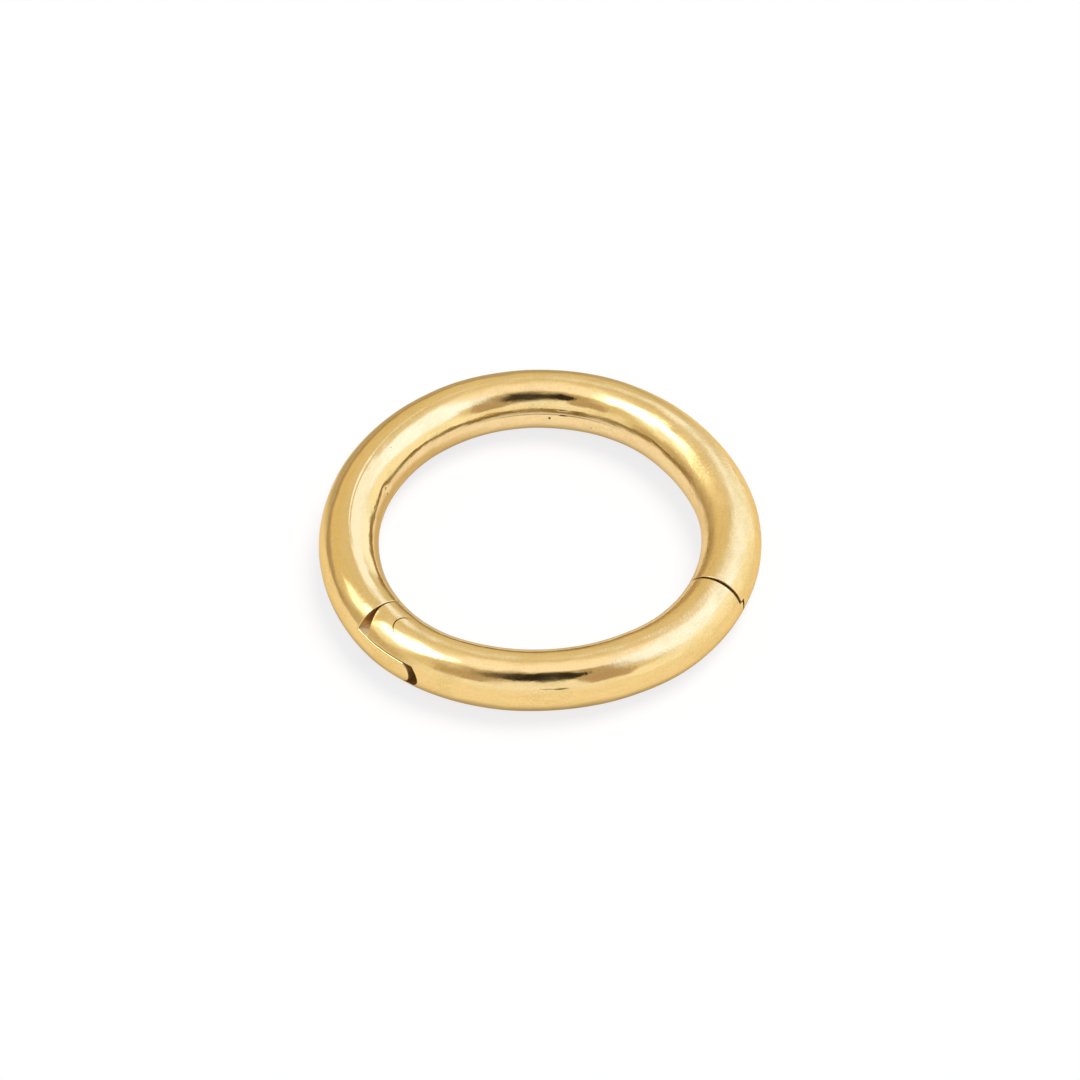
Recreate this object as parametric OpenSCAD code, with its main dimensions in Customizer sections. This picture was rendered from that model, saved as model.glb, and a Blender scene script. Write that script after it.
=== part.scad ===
// Clicker ring: a hinged segment ring for a piercing, lying on its side.
// Millimetres. The ring stands on z = 0 with the middle of its box over the origin.
// Seen from above, the hinge is at the lower left and the catch at the right.
// Angles are those of the wire's outward normal, anticlockwise from +X.

/* [Ring] */
// Diameter of the round wire, 16 gauge
wire_d = 1.2; // [1.15:0.05:1.3]
// Mean inside diameter of the ring
inner_d = 6.35; // [6:0.25:10]

/* [Hinge] */
// Diameter of the hinge pin
pin_d = 0.52; // [0.44:0.02:0.56]
// Thickness of the hoop's hinge tongue
tongue_t = 0.5; // [0.4:0.02:0.54]
// How far the tongue's nose reaches past the pin's axis
tongue_nose = 0.52; // [0.46:0.02:0.54]
// Radius that the nose is rounded to, seen from outside the ring
nose_r = 0.35; // [0.3:0.01:0.4]
// How far the gate's slot runs past the pin's axis, at the outside of the ring
slot_reach = 0.74; // [0.74:0.01:0.85]
// Angle at which the slot's closed end leans, longer at the inside of the ring
slot_lean = 6; // [4:1:10]
// Gap between the hinge tongue and each ear
tongue_gap = 0.02; // [0.015:0.005:0.03]
// Gap between the pin and the tongue that turns on it
pin_running_gap = 0.02; // [0.015:0.005:0.04]
// Gap between the pin and the ears that it rides in
pin_ear_gap = 0.012; // [0.01:0.001:0.02]

/* [Catch] */
// Thickness of the gate's catch tongue
catch_t = 0.3; // [0.24:0.02:0.36]
// How far the catch tongue reaches into the hoop at the outside of the ring
catch_outer_reach = 0.08; // [0.06:0.01:0.12]
// How far the catch tongue reaches into the hoop at the inside of the ring
catch_inner_reach = 0.62; // [0.4:0.02:0.7]
// Gap round the catch tongue
catch_gap = 0.02; // [0.015:0.005:0.03]

/* [Seams] */
// Gap between the shut gate and the hoop's two ends
seam_gap = 0.015; // [0.01:0.005:0.03]
// Angle at which the catch seam opens towards the outside of the ring
catch_seam_open = 2; // [0:0.5:3]

/* [Hidden] */
$fn = 96;

// The wire's plan isn't a true circle. It is a closed chain of tangent arcs,
// one row each, from the catch seam anticlockwise round to the catch seam.
SWEEP = 0;
FACTOR = 1; // radius of the arc as a multiple of the ring's mean radius
CLOSING = undef; // a radius worked out so that the chain closes
PLAN = [
    [20, 1.03], // hoop, above the catch
    [25, 0.93], // right side
    [25, 1.16], // flatter, back right
    [25, 0.92], // back shoulder
    [25, 0.99], // back
    [30, 0.95], // back left
    [75, CLOSING], // long left side
    [15, 1], // down to the hinge seam
    [30, 0.83], // gate, the bulge round the hinge
    [17, 1.01], // off the hinge
    [38, CLOSING], // flattened middle of the gate
    [25, 0.86], // its rounded right end
    [10, 0.96], // up to the catch seam
];
LEFT_SIDE = 6;
HINGE_BULGE = 8;
GATE_MIDDLE = 10;
ARCS = len(PLAN);

CATCH_ANGLE = 335;
HINGE_ANGLE = 215;
PIN_ANGLE = 229;

mean_r = (inner_d + wire_d) / 2;
wire_r = wire_d / 2;
pin_r = pin_d / 2;
end_reach = 2.4 * wire_d; // size of the blocks that trim an end of the hoop or the gate
colour_gold = [0.93, 0.76, 0.42];
colour_pin = [0.88, 0.72, 0.42];

// Closing the chain: each arc moves the wire by its radius times its chord.
function unit(angle) = [cos(angle), sin(angle)];
function start_angle(i) = i == 0 ? CATCH_ANGLE - 360 : start_angle(i - 1) + PLAN[i - 1][SWEEP];
function chord(i) = unit(start_angle(i + 1)) - unit(start_angle(i));
function set_step(i) = PLAN[i][FACTOR] == CLOSING ? [0, 0] : PLAN[i][FACTOR] * chord(i);
function set_sum(i) = i < 0 ? [0, 0] : set_step(i) + set_sum(i - 1);
open_step = set_sum(ARCS - 1);
closing_det = cross(chord(LEFT_SIDE), chord(GATE_MIDDLE));
left_factor = -cross(open_step, chord(GATE_MIDDLE)) / closing_det;
gate_factor = -cross(chord(LEFT_SIDE), open_step) / closing_det;
function factor(i) = i == LEFT_SIDE ? left_factor : i == GATE_MIDDLE ? gate_factor : PLAN[i][FACTOR];
function arc_r(i) = mean_r * factor(i);

// Centres of the arcs, then the same moved so that the ring's box is centred.
function chain_centre(i) =
    i == 0 ? [0, 0] : chain_centre(i - 1) + (arc_r(i - 1) - arc_r(i)) * unit(start_angle(i));
function arc_at(angle) =
    [for (i = [0:ARCS - 1]) if (start_angle(i) <= angle && angle < start_angle(i + 1)) i][0];
function chain_point(angle) = chain_centre(arc_at(angle)) + arc_r(arc_at(angle)) * unit(angle);
box_middle = [
    (chain_point(0)[0] + chain_point(180)[0]) / 2,
    (chain_point(90)[1] + chain_point(270)[1]) / 2
];
function arc_centre(i) = chain_centre(i) - box_middle;
function wire_point(angle) = chain_point(angle == CATCH_ANGLE ? angle - 360 : angle) - box_middle;

// Puts children on the wire's centre line at a normal angle: x runs along the
// wire anticlockwise, y points into the ring and z is up.
module at_wire(angle) {
    place = wire_point(angle);
    translate([place[0], place[1], wire_r]) rotate([0, 0, angle + 90]) children();
}

// Moves children by whole hundredths and then by the rest, so that arcs meet exactly
module move_finely(step) {
    whole = [for (part = step) round(100 * part) / 100];
    translate(whole) translate(step - whole) children();
}

// The round wire from one row of the plan to another. Rows past the last one
// start again at the first.
module wire(first, last) {
    for (step = [first:last]) {
        i = step % ARCS;
        move_finely([arc_centre(i)[0], arc_centre(i)[1], wire_r])
            rotate_extrude(angle = PLAN[i][SWEEP], start = start_angle(i))
                move_finely([arc_r(i), 0, 0]) circle(r = wire_r);
    }
}

// A block that starts at a cut across the wire and runs one way along it
module end_block(direction) {
    translate([direction > 0 ? 0 : -end_reach, -end_reach / 2, -wire_d])
        cube([end_reach, end_reach, 2 * wire_d]);
}

// Flat tongue with a rounded nose past the pin, which the wire then trims
module hinge_tongue_zone() {
    at_wire(PIN_ANGLE)
        difference() {
            translate([-2 * wire_d, -wire_d, -tongue_t / 2]) cube([3 * wire_d, 2 * wire_d, tongue_t]);
            difference() {
                translate([tongue_nose - nose_r / 2, -1.5 * wire_d, -wire_d])
                    cube([wire_d, 3 * wire_d, 2 * wire_d]);
                translate([tongue_nose - nose_r, 0, 0]) rotate([90, 0, 0])
                    cylinder(r = nose_r, h = 4 * wire_d, center = true);
            }
        }
}

// Slot between the gate's ears, closed ahead of the pin by a leaning face
module hinge_slot() {
    lean = tan(slot_lean);
    at_wire(PIN_ANGLE)
        linear_extrude(height = tongue_t + 2 * tongue_gap, center = true)
            polygon([
                [-2 * wire_d, -wire_d],
                [slot_reach - lean * wire_r, -wire_d],
                [slot_reach + lean * (wire_d + wire_r), wire_d],
                [-2 * wire_d, wire_d]
            ]);
}

// The outer half of each ear's tail is round about the pin, so that it turns
// past the hoop's shoulder. The inner half lies flat against the shoulder.
module ear_relief() {
    shoulder_reach = arc_r(arc_at(HINGE_ANGLE)) * sin(PIN_ANGLE - HINGE_ANGLE);
    pin_place = wire_point(PIN_ANGLE);
    translate([pin_place[0], pin_place[1], wire_r]) rotate([0, 0, HINGE_ANGLE + 90])
        difference() {
            translate([-2 * wire_d, -2 * wire_d, -wire_d]) cube([2 * wire_d, 2 * wire_d, 2 * wire_d]);
            cylinder(r = shoulder_reach - 1.5 * seam_gap, h = 3 * wire_d, center = true);
        }
}

// Round hole or rod on the pin's axis
module on_pin_axis(radius) {
    at_wire(PIN_ANGLE) cylinder(r = radius, h = 2 * wire_d, center = true);
}

// Flat tongue over the catch seam, slanting from a short outer reach to a long
// inner one. A gap makes it the slot that the tongue lies in.
module catch_tongue_zone(gap) {
    slope = (catch_inner_reach - catch_outer_reach) / wire_d;
    middle_reach = (catch_inner_reach + catch_outer_reach) / 2 + gap;
    at_wire(CATCH_ANGLE)
        linear_extrude(height = catch_t + 2 * gap, center = true)
            polygon([
                [-wire_r, -wire_d],
                [middle_reach - slope * wire_d, -wire_d],
                [middle_reach + slope * wire_d, wire_d],
                [-wire_r, wire_d]
            ]);
}

// Fixed part of the ring, with the hinge tongue at one end and the catch slot
// at the other
module hoop() {
    color(colour_gold)
        difference() {
            wire(0, HINGE_BULGE);
            difference() {
                at_wire(HINGE_ANGLE) end_block(1);
                hinge_tongue_zone();
            }
            catch_tongue_zone(catch_gap);
            on_pin_axis(pin_r + pin_running_gap);
        }
}

// Segment that swings open, with two ears round the hinge tongue and the catch
// tongue at its far end
module gate() {
    color(colour_gold)
        difference() {
            wire(HINGE_BULGE, ARCS);
            at_wire(HINGE_ANGLE) translate([seam_gap, 0, 0]) end_block(-1);
            difference() {
                at_wire(CATCH_ANGLE)
                    translate([-seam_gap, wire_r, 0]) rotate([0, 0, -catch_seam_open]) end_block(1);
                catch_tongue_zone(0);
            }
            hinge_slot();
            ear_relief();
            on_pin_axis(pin_r + pin_ear_gap);
        }
}

// Pin through the ears and the tongue, dressed flush with the round wire
module hinge_pin() {
    color(colour_pin)
        intersection() {
            wire(HINGE_BULGE, HINGE_BULGE);
            on_pin_axis(pin_r);
        }
}

hoop();
gate();
hinge_pin();
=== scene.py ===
"""Clicker ring in polished yellow gold, lying on its side on a plain pale floor."""

import logging
import math
from dataclasses import dataclass, field
from enum import IntEnum
from functools import reduce
from itertools import pairwise
from typing import Callable, Optional, Sequence, Union

import bmesh
import bpy
from mathutils import Matrix, Vector, noise


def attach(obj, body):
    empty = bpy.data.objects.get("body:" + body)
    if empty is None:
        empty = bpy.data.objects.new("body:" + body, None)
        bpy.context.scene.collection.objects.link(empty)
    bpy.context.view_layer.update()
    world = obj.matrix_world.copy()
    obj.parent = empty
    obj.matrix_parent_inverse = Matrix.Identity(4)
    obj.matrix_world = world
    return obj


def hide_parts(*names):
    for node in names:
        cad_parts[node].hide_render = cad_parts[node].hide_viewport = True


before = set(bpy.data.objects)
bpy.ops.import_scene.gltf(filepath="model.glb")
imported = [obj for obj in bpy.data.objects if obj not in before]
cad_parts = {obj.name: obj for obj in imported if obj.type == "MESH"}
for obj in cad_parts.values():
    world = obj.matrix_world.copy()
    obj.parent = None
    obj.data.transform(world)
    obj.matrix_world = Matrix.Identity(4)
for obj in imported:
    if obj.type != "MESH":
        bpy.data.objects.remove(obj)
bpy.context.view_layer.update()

# A millimetre and a micrometre, in metres
MM = 0.001
MICROMETRE = 0.001 * MM
# Points closer than this are merged, in millimetres
WELD = 1e-5
# Points closer than this count as being at the same place, in millimetres
NEAR = 1e-4
# Sides of the pin and of its bores
BORE_SIDES = 64
WIRE_MAP = "WireMap"
log = logging.getLogger("clicker_ring")

Pair = tuple[float, float]
Triple = tuple[float, float, float]
Edges = list[bmesh.types.BMEdge]
Depth = Callable[[Vector], float]
Socket = bpy.types.NodeSocket
Value = Union[Socket, Triple, Vector, float]


def unit(angle: float) -> Vector:
    """The level unit vector at an angle in degrees, anticlockwise from +X."""
    return Vector((math.cos(math.radians(angle)), math.sin(math.radians(angle)), 0.0))


def turn_to(start: float, end: float) -> float:
    """The shortest turn from one angle to another in degrees, from -180 to 180."""
    return (end - start + 180) % 360 - 180


def cross_level(a: Vector, b: Vector) -> float:
    """The upward part of the cross product of two level vectors."""
    return a.x * b.y - a.y * b.x


class Surface(IntEnum):
    """What a face of a metal piece is, which decides its shading and its finish."""

    WIRE = 0
    FLAT = 1
    WALL = 2
    ROUNDED = 3


@dataclass(frozen=True)
class Arc:
    """One stretch of the wire's plan, an arc of a circle.

    Attributes:
        sweep: how far the arc turns, in degrees.
        factor: its radius as a multiple of the ring's mean radius, or None where it closes the chain.
    """

    sweep: float
    factor: Optional[float] = None


@dataclass(frozen=True)
class Dent:
    """A shallow knock in the wire's surface.

    Attributes:
        angle: its place along the wire, in degrees.
        around: its place round the wire, in degrees from the outside over the top.
        long: its half length along the wire, in millimetres.
        wide: its half width round the wire, in millimetres.
        deep: its depth, in millimetres.
        after: the angle that it begins at, if it stops short at an edge.
    """

    angle: float
    around: float
    long: float
    wide: float
    deep: float
    after: Optional[float] = None


@dataclass(frozen=True)
class Swell:
    """A long low wave left in the wire by hand filing and polishing.

    Attributes:
        along: waves in one turn of the ring.
        around: waves in one turn round the wire.
        height: half the height of the wave, in millimetres.
        phase: where the wave starts, in degrees.
    """

    along: int
    around: int
    height: float
    phase: float


@dataclass(frozen=True)
class Ripple:
    """Uneven filing in one part of the ring: shallow hollows, longer along the wire than round it.

    Attributes:
        angle: the middle of the part, in degrees along the wire.
        reach: how far the part goes to each side, in degrees.
        long: about how long a hollow is, in millimetres.
        wide: about how wide a hollow is round the wire, in millimetres.
        deep: how deep a hollow can be, in millimetres.
        seed: a number that sets where the hollows fall.
    """

    angle: float
    reach: float
    long: float
    wide: float
    deep: float
    seed: float


@dataclass(frozen=True)
class Mark:
    """A small mark in the metal's finish: a pit, a nick, a scratch or a bright rub.

    Attributes:
        angle: its place along the wire, in degrees.
        around: its place round the wire, in degrees from the outside over the top.
        long: its half length along the wire, in millimetres.
        wide: its half width round the wire, in millimetres.
        dirt: how much dark dirt it holds, from 0 to 1.
        height: how far it stands out, in micrometres, below 0 for a hollow.
    """

    angle: float
    around: float
    long: float
    wide: float
    dirt: float
    height: float


@dataclass
class WirePlan:
    """The closed chain of tangent arcs that the round wire follows, in millimetres.

    Angles are those of the wire's outward normal, anticlockwise from +X. Places round the wire are
    in degrees, from the outside of the ring over its top to the inside.

    Attributes:
        wire_radius: the wire's radius.
        inner_diameter: the ring's mean inside diameter.
        first_angle: the angle that the first arc starts at.
        rows: the arcs, anticlockwise.
        swells: long low waves in the wire.
        dents: knocks in the wire.
        ripples: parts with uneven filing.
        dent_edge: how far out a dent is still worked out, in half lengths.
        ripple_edge: how far out a ripple is still worked out, as a multiple of its reach.
        halvings: steps in the search for a crossing.
        starts: the angle that each arc starts at, and the last one's end.
        radii: the arcs' radii.
        centres: the arcs' centres, at the wire's middle height.
        lengths: how far along the wire each arc starts, and the last one's end.
    """

    wire_radius: float = 0.6
    inner_diameter: float = 6.35
    first_angle: float = -25.0
    rows: Sequence[Arc] = (
        Arc(20, 1.03),
        Arc(25, 0.93),
        Arc(25, 1.16),
        Arc(25, 0.92),
        Arc(25, 0.99),
        Arc(30, 0.95),
        Arc(75),
        Arc(15, 1.0),
        Arc(30, 0.83),
        Arc(17, 1.01),
        Arc(38),
        Arc(25, 0.86),
        Arc(10, 0.96),
    )
    swells: Sequence[Swell] = (
        Swell(5, 1, 0.0030, 40),
        Swell(9, -2, 0.0022, 110),
        Swell(17, 1, 0.0010, 200),
        Swell(29, 3, 0.0005, 15),
    )
    dents: Sequence[Dent] = (
        Dent(85.0, 158, 2.40, 0.12, 0.007),
        Dent(272.0, 33, 1.60, 0.30, 0.018),
        Dent(160.8, 156, 0.16, 0.10, 0.010),
        Dent(170.0, 128, 0.30, 0.16, 0.008),
        Dent(18.0, 52, 0.30, 0.10, 0.004),
        Dent(275.0, 15, 0.40, 0.04, 0.002),
        Dent(215.8, 62, 0.25, 0.26, 0.042, after=215.1),
    )
    ripples: Sequence[Ripple] = (
        Ripple(88, 62, 0.75, 0.34, 0.0050, 3.1),
        Ripple(172, 44, 0.90, 0.40, 0.0050, 8.7),
        Ripple(8, 38, 0.70, 0.26, 0.0045, 14.3),
        Ripple(268, 38, 1.10, 0.34, 0.0040, 21.9),
        Ripple(318, 26, 0.80, 0.28, 0.0050, 30.2),
    )
    dent_edge: float = 4.0
    ripple_edge: float = 1.6
    halvings: int = 40
    starts: list[float] = field(init=False)
    radii: list[float] = field(init=False)
    centres: list[Vector] = field(init=False)
    lengths: list[float] = field(init=False)

    def __post_init__(self) -> None:
        """Closes the chain and puts the middle of its box over the origin."""
        mean = self.inner_diameter / 2 + self.wire_radius
        self.starts = [self.first_angle]
        for arc in self.rows:
            self.starts.append(self.starts[-1] + arc.sweep)
        chords = [unit(b) - unit(a) for a, b in pairwise(self.starts)]
        known = sum((c * a.factor for c, a in zip(chords, self.rows) if a.factor), Vector((0, 0, 0)))
        one, other = (c for c, a in zip(chords, self.rows) if a.factor is None)
        whole = cross_level(one, other)
        closers = iter((-cross_level(known, other) / whole, -cross_level(one, known) / whole))
        self.radii = [mean * (next(closers) if a.factor is None else a.factor) for a in self.rows]
        self.centres = [Vector((0, 0, self.wire_radius))]
        for i in range(1, len(self.rows)):
            step = (self.radii[i - 1] - self.radii[i]) * unit(self.starts[i])
            self.centres.append(self.centres[-1] + step)
        right, back, left, front = (self.centre_line(angle) for angle in (0, 90, 180, 270))
        middle = Vector(((right.x + left.x) / 2, (back.y + front.y) / 2, 0))
        self.centres = [centre - middle for centre in self.centres]
        self.lengths = [0.0]
        for arc, radius in zip(self.rows, self.radii):
            self.lengths.append(self.lengths[-1] + radius * math.radians(arc.sweep))

    def within_turn(self, angle: float) -> float:
        """The same angle, within one turn from the plan's first angle, give or take a hair."""
        hair = 1e-6
        return (angle - self.first_angle + hair) % 360 + self.first_angle - hair

    def row_at(self, angle: float) -> int:
        """The number of the row that holds an angle."""
        turned = self.within_turn(angle)
        return max(i for i in range(len(self.rows)) if self.starts[i] <= turned + 1e-5)

    def centre_line(self, angle: float) -> Vector:
        """The point of the wire's centre line at an angle."""
        row = self.row_at(angle)
        return self.centres[row] + self.radii[row] * unit(angle)

    def length_at(self, angle: float) -> float:
        """How far along the wire an angle is, from the plan's first angle."""
        row = self.row_at(angle)
        turned = math.radians(self.within_turn(angle) - self.starts[row])
        return self.lengths[row] + self.radii[row] * turned

    def point(self, angle: float, around: float, lift: float = 0.0) -> Vector:
        """A point at a place on the wire.

        Args:
            angle: the place along the wire.
            around: the place round the wire.
            lift: how far the point is out from the true round wire.

        Returns:
            The point, in millimetres.
        """
        row = self.row_at(angle)
        reach = self.wire_radius + lift
        out = self.radii[row] + reach * math.cos(math.radians(around))
        rise = Vector((0, 0, reach * math.sin(math.radians(around))))
        return self.centres[row] + out * unit(angle) + rise

    def place(self, point: Vector) -> tuple[float, float]:
        """The place along and round the wire that a point near the wire's surface has.

        Args:
            point: a point within about a wire's radius of the wire's centre line.

        Returns:
            The angle along the wire and the place round it.
        """
        best = None
        for row, centre in enumerate(self.centres):
            flat = Vector((point.x - centre.x, point.y - centre.y))
            angle = self.within_turn(math.degrees(math.atan2(flat.y, flat.x)))
            outside = max(self.starts[row] - angle, angle - self.starts[row + 1], 0.0)
            outside = min(outside, 360 - outside)
            if best is None or outside < best[0] - 1e-9:
                best = (outside, angle, flat.length - self.radii[row])
        around = math.degrees(math.atan2(point.z - self.wire_radius, best[2]))
        return best[1], around % 360

    def rise_over(self, point: Vector, row: int) -> float:
        """How high the wire's surface is over its middle at a point in plan, in one of the rows."""
        centre = self.centres[row]
        off = math.hypot(point.x - centre.x, point.y - centre.y) - self.radii[row]
        return math.sqrt(max(self.wire_radius**2 - off**2, 0.0))

    def dent_depth(self, dent: Dent, angle: float, around: float) -> float:
        """How deep one dent is at a place.

        Args:
            dent: the dent.
            angle: the place along the wire.
            around: the place round the wire.

        Returns:
            The depth, in millimetres.
        """
        if dent.after is not None and self.within_turn(angle) < dent.after:
            return 0.0
        long = math.radians(turn_to(dent.angle, angle)) * self.radii[0] / dent.long
        wide = math.radians(turn_to(dent.around, around)) * self.wire_radius / dent.wide
        off = long * long + wide * wide
        return dent.deep * math.exp(-off) if off < self.dent_edge**2 else 0.0

    def ripple_depth(self, ripple: Ripple, angle: float, around: float) -> float:
        """How deep one part's uneven filing is at a place.

        Args:
            ripple: the part's filing.
            angle: the place along the wire.
            around: the place round the wire.

        Returns:
            The depth, in millimetres.
        """
        apart = abs(turn_to(ripple.angle, angle)) / ripple.reach
        if apart >= self.ripple_edge:
            return 0.0
        turn = math.radians(around)
        out = Vector((0, math.cos(turn), math.sin(turn))) * self.wire_radius / ripple.wide
        spot = Vector((self.length_at(angle) / ripple.long, 0, ripple.seed)) + out
        hollow = 0.5 - 0.5 * noise.noise(spot)
        return ripple.deep * math.exp(-(apart**4)) * hollow

    def relief(self, angle: float, around: float) -> float:
        """How far the hand finish puts the surface out from the true round wire.

        Args:
            angle: the place along the wire.
            around: the place round the wire.

        Returns:
            The distance, in millimetres, mostly below 0.
        """
        height = sum(
            s.height * math.cos(math.radians(s.along * angle + s.around * around + s.phase)) - s.height
            for s in self.swells
        )
        height -= sum(self.dent_depth(dent, angle, around) for dent in self.dents)
        height -= sum(self.ripple_depth(ripple, angle, around) for ripple in self.ripples)
        return height

    def finished_point(self, angle: float, around: float) -> Vector:
        """The point of the hand-finished surface at a place."""
        return self.point(angle, around, self.relief(angle, around))

    def finished_normal(self, angle: float, around: float) -> Vector:
        """The outward normal of the hand-finished surface at a place.

        Args:
            angle: the place along the wire.
            around: the place round the wire.

        Returns:
            The unit vector.
        """
        step = 0.2
        low, high = angle - step, angle + step
        if self.within_turn(low) > self.within_turn(high):
            low, high = (angle, high) if self.within_turn(angle) < self.within_turn(low) else (low, angle)
        along = self.finished_point(high, around) - self.finished_point(low, around)
        over = self.finished_point(angle, around + step) - self.finished_point(angle, around - step)
        return along.cross(over).normalized()

    def meet(self, around: float, low: float, high: float, depth: Callable[[Vector], float]) -> float:
        """The angle between two others at which a line along the wire crosses a surface.

        Args:
            around: the line's place round the wire.
            low: an angle before the crossing.
            high: an angle after it.
            depth: a function of a point that is negative before the surface and positive past it.

        Returns:
            The angle of the crossing.
        """
        for _ in range(self.halvings):
            middle = (low + high) / 2
            if depth(self.point(middle, around)) < 0:
                low = middle
            else:
                high = middle
        return (low + high) / 2


@dataclass(frozen=True)
class Station:
    """A place on the wire's centre line, with axes along the wire, into the ring and up.

    Attributes:
        origin: the point of the centre line.
        angle: the angle that the axes are square to.
    """

    origin: Vector
    angle: float

    def local(self, point: Vector) -> Vector:
        """A point as seen from the station: x along the wire, y into the ring, z up."""
        off = point - self.origin
        return Vector((off.dot(unit(self.angle + 90)), -off.dot(unit(self.angle)), off.z))

    def world(self, x: float, y: float, z: float) -> Vector:
        """The point that the station sees at x along the wire, y into the ring and z up."""
        return self.origin + x * unit(self.angle + 90) - y * unit(self.angle) + Vector((0, 0, z))


@dataclass(frozen=True)
class HingeSizes:
    """Sizes of the hinge, in millimetres and degrees.

    Attributes:
        seam_angle: where the hoop's shoulders are, along the wire.
        pin_angle: where the pin is.
        pin_d: the pin's diameter.
        tongue_t: the tongue's thickness.
        tongue_nose: how far the tongue's nose reaches past the pin's axis.
        nose_r: the radius of the nose, seen from outside the ring.
        slot_reach: how far the slot's closed end is past the pin's axis.
        slot_lean: how far the closed end leans, in degrees.
        slot_round: how far the closed end's corners come in at the outside.
        tongue_gap: the gap over the tongue and under it.
        running_gap: the gap between the tongue and the pin.
        ear_gap: the gap between the ears and the pin.
        seam_gap: the gap between the ears and the shoulders.
        tail_gaps: the gap behind an ear's round tail, in seam gaps.
        nose_span: angles that the nose lies between.
        slot_span: angles that the slot's closed end lies between.
        tail_span: angles that the ears' tails lie between.
    """

    seam_angle: float = 215.0
    pin_angle: float = 229.0
    pin_d: float = 0.52
    tongue_t: float = 0.5
    tongue_nose: float = 0.52
    nose_r: float = 0.27
    slot_reach: float = 0.71
    slot_lean: float = 6.0
    slot_round: float = 0.17
    tongue_gap: float = 0.02
    running_gap: float = 0.02
    ear_gap: float = 0.012
    seam_gap: float = 0.018
    tail_gaps: float = 1.1
    nose_span: tuple[float, float] = (225, 245)
    slot_span: tuple[float, float] = (230, 262)
    tail_span: tuple[float, float] = (214, 228)

    @property
    def slot_half(self) -> float:
        """Half the height of the slot between the ears."""
        return self.tongue_t / 2 + self.tongue_gap

    @property
    def ear_hole_r(self) -> float:
        """The radius of the pin's hole through the ears."""
        return self.pin_d / 2 + self.ear_gap

    def pin_station(self, plan: WirePlan) -> Station:
        """The station at the pin's axis."""
        return Station(plan.centre_line(self.pin_angle), self.pin_angle)

    def seam_station(self, plan: WirePlan) -> Station:
        """The station at the hoop's shoulders."""
        return Station(plan.centre_line(self.seam_angle), self.seam_angle)


@dataclass(frozen=True)
class CatchSizes:
    """Sizes of the catch, in millimetres and degrees.

    Attributes:
        seam_angle: where the hoop's end is, along the wire.
        tongue_t: the tongue's thickness.
        outer_reach: how far the tongue reaches into the hoop at the outside of the ring.
        inner_reach: how far it reaches in at the inside.
        gap: the gap over and under the tongue, and past its end at the inside.
        outer_gap: the gap past its end at the outside.
        seam_gap: the gap between the gate and the hoop's end at the inside.
        seam_open: how far the gate's end leans away from the hoop's, in degrees.
        slot_span: angles that the slot's closed end lies between.
        tongue_span: angles that the tongue's end lies between.
        end_span: angles that the gate's end lies between.
    """

    seam_angle: float = 335.0
    tongue_t: float = 0.3
    outer_reach: float = 0.03
    inner_reach: float = 0.62
    gap: float = 0.026
    outer_gap: float = 0.058
    seam_gap: float = 0.034
    seam_open: float = 2.0
    slot_span: tuple[float, float] = (-25, -6)
    tongue_span: tuple[float, float] = (333, 354)
    end_span: tuple[float, float] = (332, 336)

    def station(self, plan: WirePlan) -> Station:
        """The station at the hoop's end."""
        return Station(plan.centre_line(self.seam_angle), self.seam_angle)

    def reach_at(self, y: float, wire_radius: float) -> float:
        """How far the tongue reaches into the hoop, at y into the ring."""
        slope = (self.inner_reach - self.outer_reach) / (2 * wire_radius)
        return self.outer_reach + slope * (y + wire_radius)

    def slot_at(self, y: float, wire_radius: float) -> float:
        """How far the hoop's slot reaches in, at y into the ring."""
        outer_share = (wire_radius - y) / (2 * wire_radius)
        return self.reach_at(y, wire_radius) + self.gap + (self.outer_gap - self.gap) * outer_share


@dataclass
class Cheek:
    """The edges of the step and the flat that a cut leaves over it or under it.

    Attributes:
        rim: the edges where the wire's surface meets the step.
        foot: the edges between the step and the flat.
        sides: the flat's edges along the wire.
        front: the edge at the flat's far end.
    """

    rim: Edges
    foot: Edges
    sides: Edges
    front: bmesh.types.BMEdge


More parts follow.
